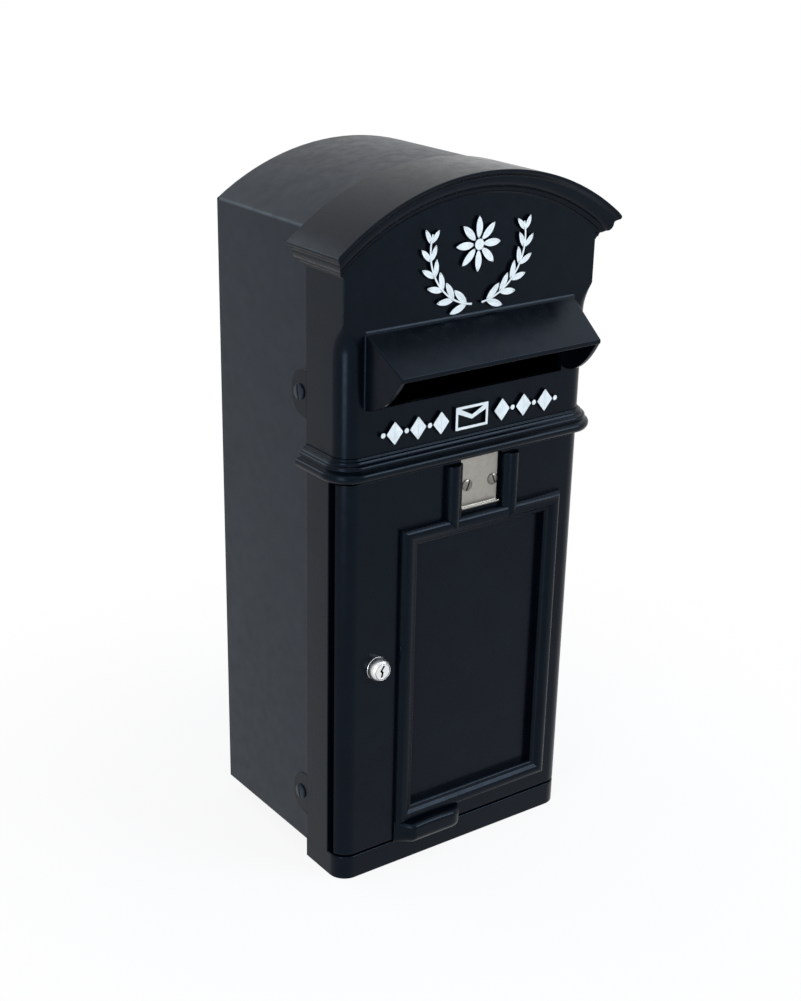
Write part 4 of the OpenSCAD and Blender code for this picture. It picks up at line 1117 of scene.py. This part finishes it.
class LETTERBOX_OT_ornament(bpy.types.Operator):
    """Builds the raised ornament of the cast front, white on its faces"""
    bl_idname = "letter_box.ornament"
    bl_label = "Ornament"

    def execute(self, context):
        m, f = measures(context), finishes(context)
        white = white_front((m.front_y - m.relief * 0.62) * MM)
        for name, shells in (("front_wreath", wreath(m)), ("front_motifs", motif_row(m))):
            make_piece(m, name, shells, [f.enamel, f.paint], "box", sharp=30, face_slot=white)
        return {"FINISHED"}


class LETTERBOX_OT_door(bpy.types.Operator):
    """Builds the hinged door: skin, moulding, uprights, pull lip and fittings"""
    bl_idname = "letter_box.door"
    bl_label = "Door"

    def execute(self, context):
        m, f = measures(context), finishes(context)
        make_piece(m, "door_skin", [door_skin(m)], [f.enamel], "door", ("door",))
        make_piece(m, "door_moulding", [frame_moulding(m)], [f.enamel], "door")
        make_piece(m, "door_uprights", tab_uprights(m), [f.enamel], "door")
        make_piece(m, "door_pull", [pull(m)], [f.enamel], "door", sharp=45)
        make_piece(m, "door_bosses", door_fittings(m), [f.enamel], "door")
        return {"FINISHED"}


class LETTERBOX_OT_casing(bpy.types.Operator):
    """Builds the sheet casing and its screws"""
    bl_idname = "letter_box.casing"
    bl_label = "Casing"

    def execute(self, context):
        m, f = measures(context), finishes(context)
        make_piece(m, "casing_sheet", [casing_wrap(m)], [f.sheet], "box", ("casing_wrap",))
        make_piece(m, "casing_heads", casing_screw_set(m), [f.screw], "box", ("casing_screws",))
        return {"FINISHED"}


class LETTERBOX_OT_fittings(bpy.types.Operator):
    """Builds the tab plate with its screws and the cam lock with its plug"""
    bl_idname = "letter_box.fittings"
    bl_label = "Tab plate and lock"

    def execute(self, context):
        m, f = measures(context), finishes(context)
        make_piece(m, "tab_sheet", [tab_plate(m)], [f.nickel], "door", ("tab_plate",))
        make_piece(m, "tab_heads", tab_screw_set(m), [f.screw_nickel], "door", ("tab_screws",))
        make_piece(m, "lock_shell", lock_shell(m), [f.satin], "door", ("lock_housing",))
        # the plug's sunk keyway faces get painted shade, a near-black finish in place of the slot's shadow
        make_piece(m, "lock_core", lock_plug(m), [f.chrome, f.keyway], "plug", ("lock_plug",),
                   face_slot=keyway_painted_shade_faces(m))
        return {"FINISHED"}


class LETTERBOX_OT_frame_finishes(bpy.types.Operator):
    """Gives the solids of the frame that stay in view their finishes"""
    bl_idname = "letter_box.frame_finishes"
    bl_label = "Frame finishes"

    def execute(self, context):
        f = finishes(context)
        chosen = {"back_panel": f.sheet, "base_panel": f.sheet, "hinge_washers": f.nylon, "lock_nut": f.brass}
        for name in ("casing_nuts", "hinge_pin_top", "hinge_pin_bottom", "lock_washer", "stop_washer", "lock_cam",
                     "cam_screw"):
            chosen[name] = f.zinc
        for name, finish in chosen.items():
            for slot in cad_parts[name].material_slots:
                slot.material = finish
        return {"FINISHED"}


class LETTERBOX_OT_stage(bpy.types.Operator):
    """Sets the floor, the soft light and the camera of the photograph"""
    bl_idname = "letter_box.stage"
    bl_label = "Stage"

    def execute(self, context):
        m = measures(context)
        add_floor(context)
        add_world(context)
        add_lamps(context)
        add_camera(context, m)
        context.scene.view_settings.view_transform = "Standard"
        return {"FINISHED"}


def seen_directly(tree):
    """1 for rays from the camera, off a gloss or through glass, else 0."""
    path = tree.nodes.new("ShaderNodeLightPath")
    total = path.outputs["Is Camera Ray"]
    for name in ("Is Glossy Ray", "Is Transmission Ray"):
        add = tree.nodes.new("ShaderNodeMath")
        add.operation = "ADD"
        add.use_clamp = True
        tree.links.new(total, add.inputs[0])
        tree.links.new(path.outputs[name], add.inputs[1])
        total = add.outputs[0]
    return total


def joined(tree, share, first, second, output):
    """Mixes two shaders by a share into a surface output."""
    mix = tree.nodes.new("ShaderNodeMixShader")
    tree.links.new(share, mix.inputs[0])
    tree.links.new(first.outputs[0], mix.inputs[1])
    tree.links.new(second.outputs[0], mix.inputs[2])
    tree.links.new(mix.outputs[0], output.inputs["Surface"])


def add_floor(context):
    """A pale floor, a shallow bowl z = k (r - 3) squared beyond three metres. It goes to white away from the
    box, by the share of its own light, and keeps the box's shadow near it."""
    cells, half_width, flat_r, rise = 41, 8.0, 3.0, 0.02
    line = np.linspace(-1, 1, cells) * half_width
    x, y = np.meshgrid(line, line, indexing="ij")
    z = np.maximum(np.hypot(x, y) - flat_r, 0) ** 2 * rise
    faces = quads(cells, cells)[:, ::-1].tolist()
    mesh = bpy.data.meshes.new("floor")
    mesh.from_pydata(np.stack([x, y, z], -1).reshape(-1, 3).tolist(), [], faces)
    mesh.shade_smooth()
    material = bpy.data.materials.new("pale_floor")
    material.use_nodes = True
    tree = material.node_tree
    tree.nodes.clear()
    new = tree.nodes.new
    output, coords = new("ShaderNodeOutputMaterial"), new("ShaderNodeTexCoord")
    away = new("ShaderNodeVectorMath")
    away.operation = "LENGTH"
    tree.links.new(coords.outputs["Object"], away.inputs[0])
    matt, white, share = new("ShaderNodeBsdfDiffuse"), new("ShaderNodeEmission"), new("ShaderNodeMath")
    matt.inputs["Color"].default_value = (*context.scene.letter_box_finishes.floor, 1)
    white.inputs["Color"].default_value = (1, 1, 1, 1)
    share.operation = "MULTIPLY"
    far = spread(SimpleNamespace(tree=tree), away.outputs["Value"], 0.88, 1.0, 0.25, 0.6)
    tree.links.new(seen_directly(tree), share.inputs[0])
    tree.links.new(far, share.inputs[1])
    joined(tree, share.outputs[0], matt, white, output)
    mesh.materials.append(material)
    floor = bpy.data.objects.new("floor", mesh)
    context.scene.collection.objects.link(floor)


def add_world(context):
    """White to the camera and in reflections, a dimmer cool white as light."""
    world = bpy.data.worlds.new("studio")
    context.scene.world = world
    world.use_nodes = True
    tree = world.node_tree
    tree.nodes.clear()
    output = tree.nodes.new("ShaderNodeOutputWorld")
    soft, seen = tree.nodes.new("ShaderNodeBackground"), tree.nodes.new("ShaderNodeBackground")
    soft.inputs["Color"].default_value = (0.92, 0.96, 1.0, 1)
    soft.inputs["Strength"].default_value = 0.38
    seen.inputs["Color"].default_value = (1, 1, 1, 1)
    joined(tree, seen_directly(tree), soft, seen, output)


def add_lamps(context):
    """Soft boxes: the key in front on the right, one high on the left, a weak one for the hood,
    one behind on the left for the side mouldings, one on top and a low one on the left for the round edges.
    Each has its place, width in metres, power in watts and colour."""
    aim = Vector((0, 0, 0.28))
    boxes = [("key_box", (0.87, -1.25, 0.98), 0.75, 15.0, (0.9, 0.96, 1.0)),
             ("left_box", (-1.5, -0.9, 1.3), 0.65, 8.0, (0.92, 0.97, 1.0)),
             ("hood_box", (1.02, -0.15, 1.35), 1.0, 3.0, (0.75, 0.88, 1.0)),
             ("back_box", (-0.75, 1.3, 1.15), 0.9, 7.0, (0.85, 0.93, 1.0)),
             ("top_box", (0.1, -0.3, 2.1), 1.2, 6.0, (0.8, 0.9, 1.0)),
             ("low_box", (-0.98, -0.66, 0.24), 0.4, 3.5, (0.85, 0.93, 1.0))]
    for name, spot, size, watts, colour in boxes:
        data = bpy.data.lights.new(name, "AREA")
        data.shape = "SQUARE"
        data.size = size
        data.energy = watts
        data.color = colour
        lamp = bpy.data.objects.new(name, data)
        lamp.location = spot
        lamp.rotation_euler = (aim - Vector(spot)).to_track_quat("-Z", "Y").to_euler()
        context.scene.collection.objects.link(lamp)


def add_camera(context, m):
    """Camera of the photograph: back is the direction from the scene to the camera for its turn and height.
    The focal length and the image centre are in pixels, the place in millimetres in the face frame."""
    turn, height, roll = math.radians(-33.9665), math.radians(23.8222), 0.00347161
    focal, centre_x, centre_y, sensor = 1663.406, 327.861, 568.943, 36.0
    spot = Vector((-781.174, -962.302, 802.932))
    back = Vector((math.sin(turn) * math.cos(height), -math.cos(turn) * math.cos(height), math.sin(height)))
    right = (-back).cross(Vector((0, 0, 1))).normalized()
    up = right.cross(-back)
    across = right * math.cos(roll) + up * math.sin(roll)
    above = up * math.cos(roll) - right * math.sin(roll)
    data = bpy.data.cameras.new("camera")
    data.sensor_fit = "HORIZONTAL"
    data.sensor_width = sensor
    data.lens = focal * sensor / IMAGE_W
    data.shift_x = (IMAGE_W / 2 - centre_x) / IMAGE_W
    data.shift_y = (centre_y - IMAGE_H / 2) / IMAGE_W
    data.clip_end = 50.0
    camera = bpy.data.objects.new("camera", data)
    place = Matrix((across, above, back)).transposed().to_4x4()
    place.translation = (spot + Vector((0, m.front_y, 0))) * MM
    camera.matrix_world = place
    context.scene.collection.objects.link(camera)
    context.scene.camera = camera


class LETTERBOX_PT_panel(bpy.types.Panel):
    """Lists the letter box's sizes, finishes and building steps"""
    bl_idname = "LETTERBOX_PT_panel"
    bl_label = "Letter box"
    bl_space_type = "VIEW_3D"
    bl_region_type = "UI"
    bl_category = "Letter box"

    def draw(self, context):
        layout = self.layout
        for operator in OPERATORS:
            layout.operator(operator.bl_idname)
        for group, settings in ((LETTERBOX_PG_sizes, context.scene.letter_box_sizes),
                                (LETTERBOX_PG_finishes, context.scene.letter_box_finishes)):
            box = layout.box()
            for key in group.__annotations__:
                box.prop(settings, key)


OPERATORS = (LETTERBOX_OT_front_casting, LETTERBOX_OT_ornament, LETTERBOX_OT_door, LETTERBOX_OT_casing,
             LETTERBOX_OT_fittings, LETTERBOX_OT_frame_finishes, LETTERBOX_OT_stage)
CLASSES = (LETTERBOX_PG_sizes, LETTERBOX_PG_finishes) + OPERATORS + (LETTERBOX_PT_panel,)


def register():
    """Registers the classes and hangs the two groups of settings on the scene."""
    for cls in CLASSES:
        bpy.utils.register_class(cls)
    bpy.types.Scene.letter_box_sizes = bpy.props.PointerProperty(type=LETTERBOX_PG_sizes)
    bpy.types.Scene.letter_box_finishes = bpy.props.PointerProperty(type=LETTERBOX_PG_finishes)


def unregister():
    """Takes the settings and classes off again."""
    del bpy.types.Scene.letter_box_sizes
    del bpy.types.Scene.letter_box_finishes
    for cls in reversed(CLASSES):
        bpy.utils.unregister_class(cls)


def main():
    """Builds every piece."""
    register()
    bpy.ops.letter_box.front_casting()
    bpy.ops.letter_box.ornament()
    bpy.ops.letter_box.door()
    bpy.ops.letter_box.casing()
    bpy.ops.letter_box.fittings()
    bpy.ops.letter_box.frame_finishes()
    bpy.ops.letter_box.stage()


if __name__ == "__main__":
    main()
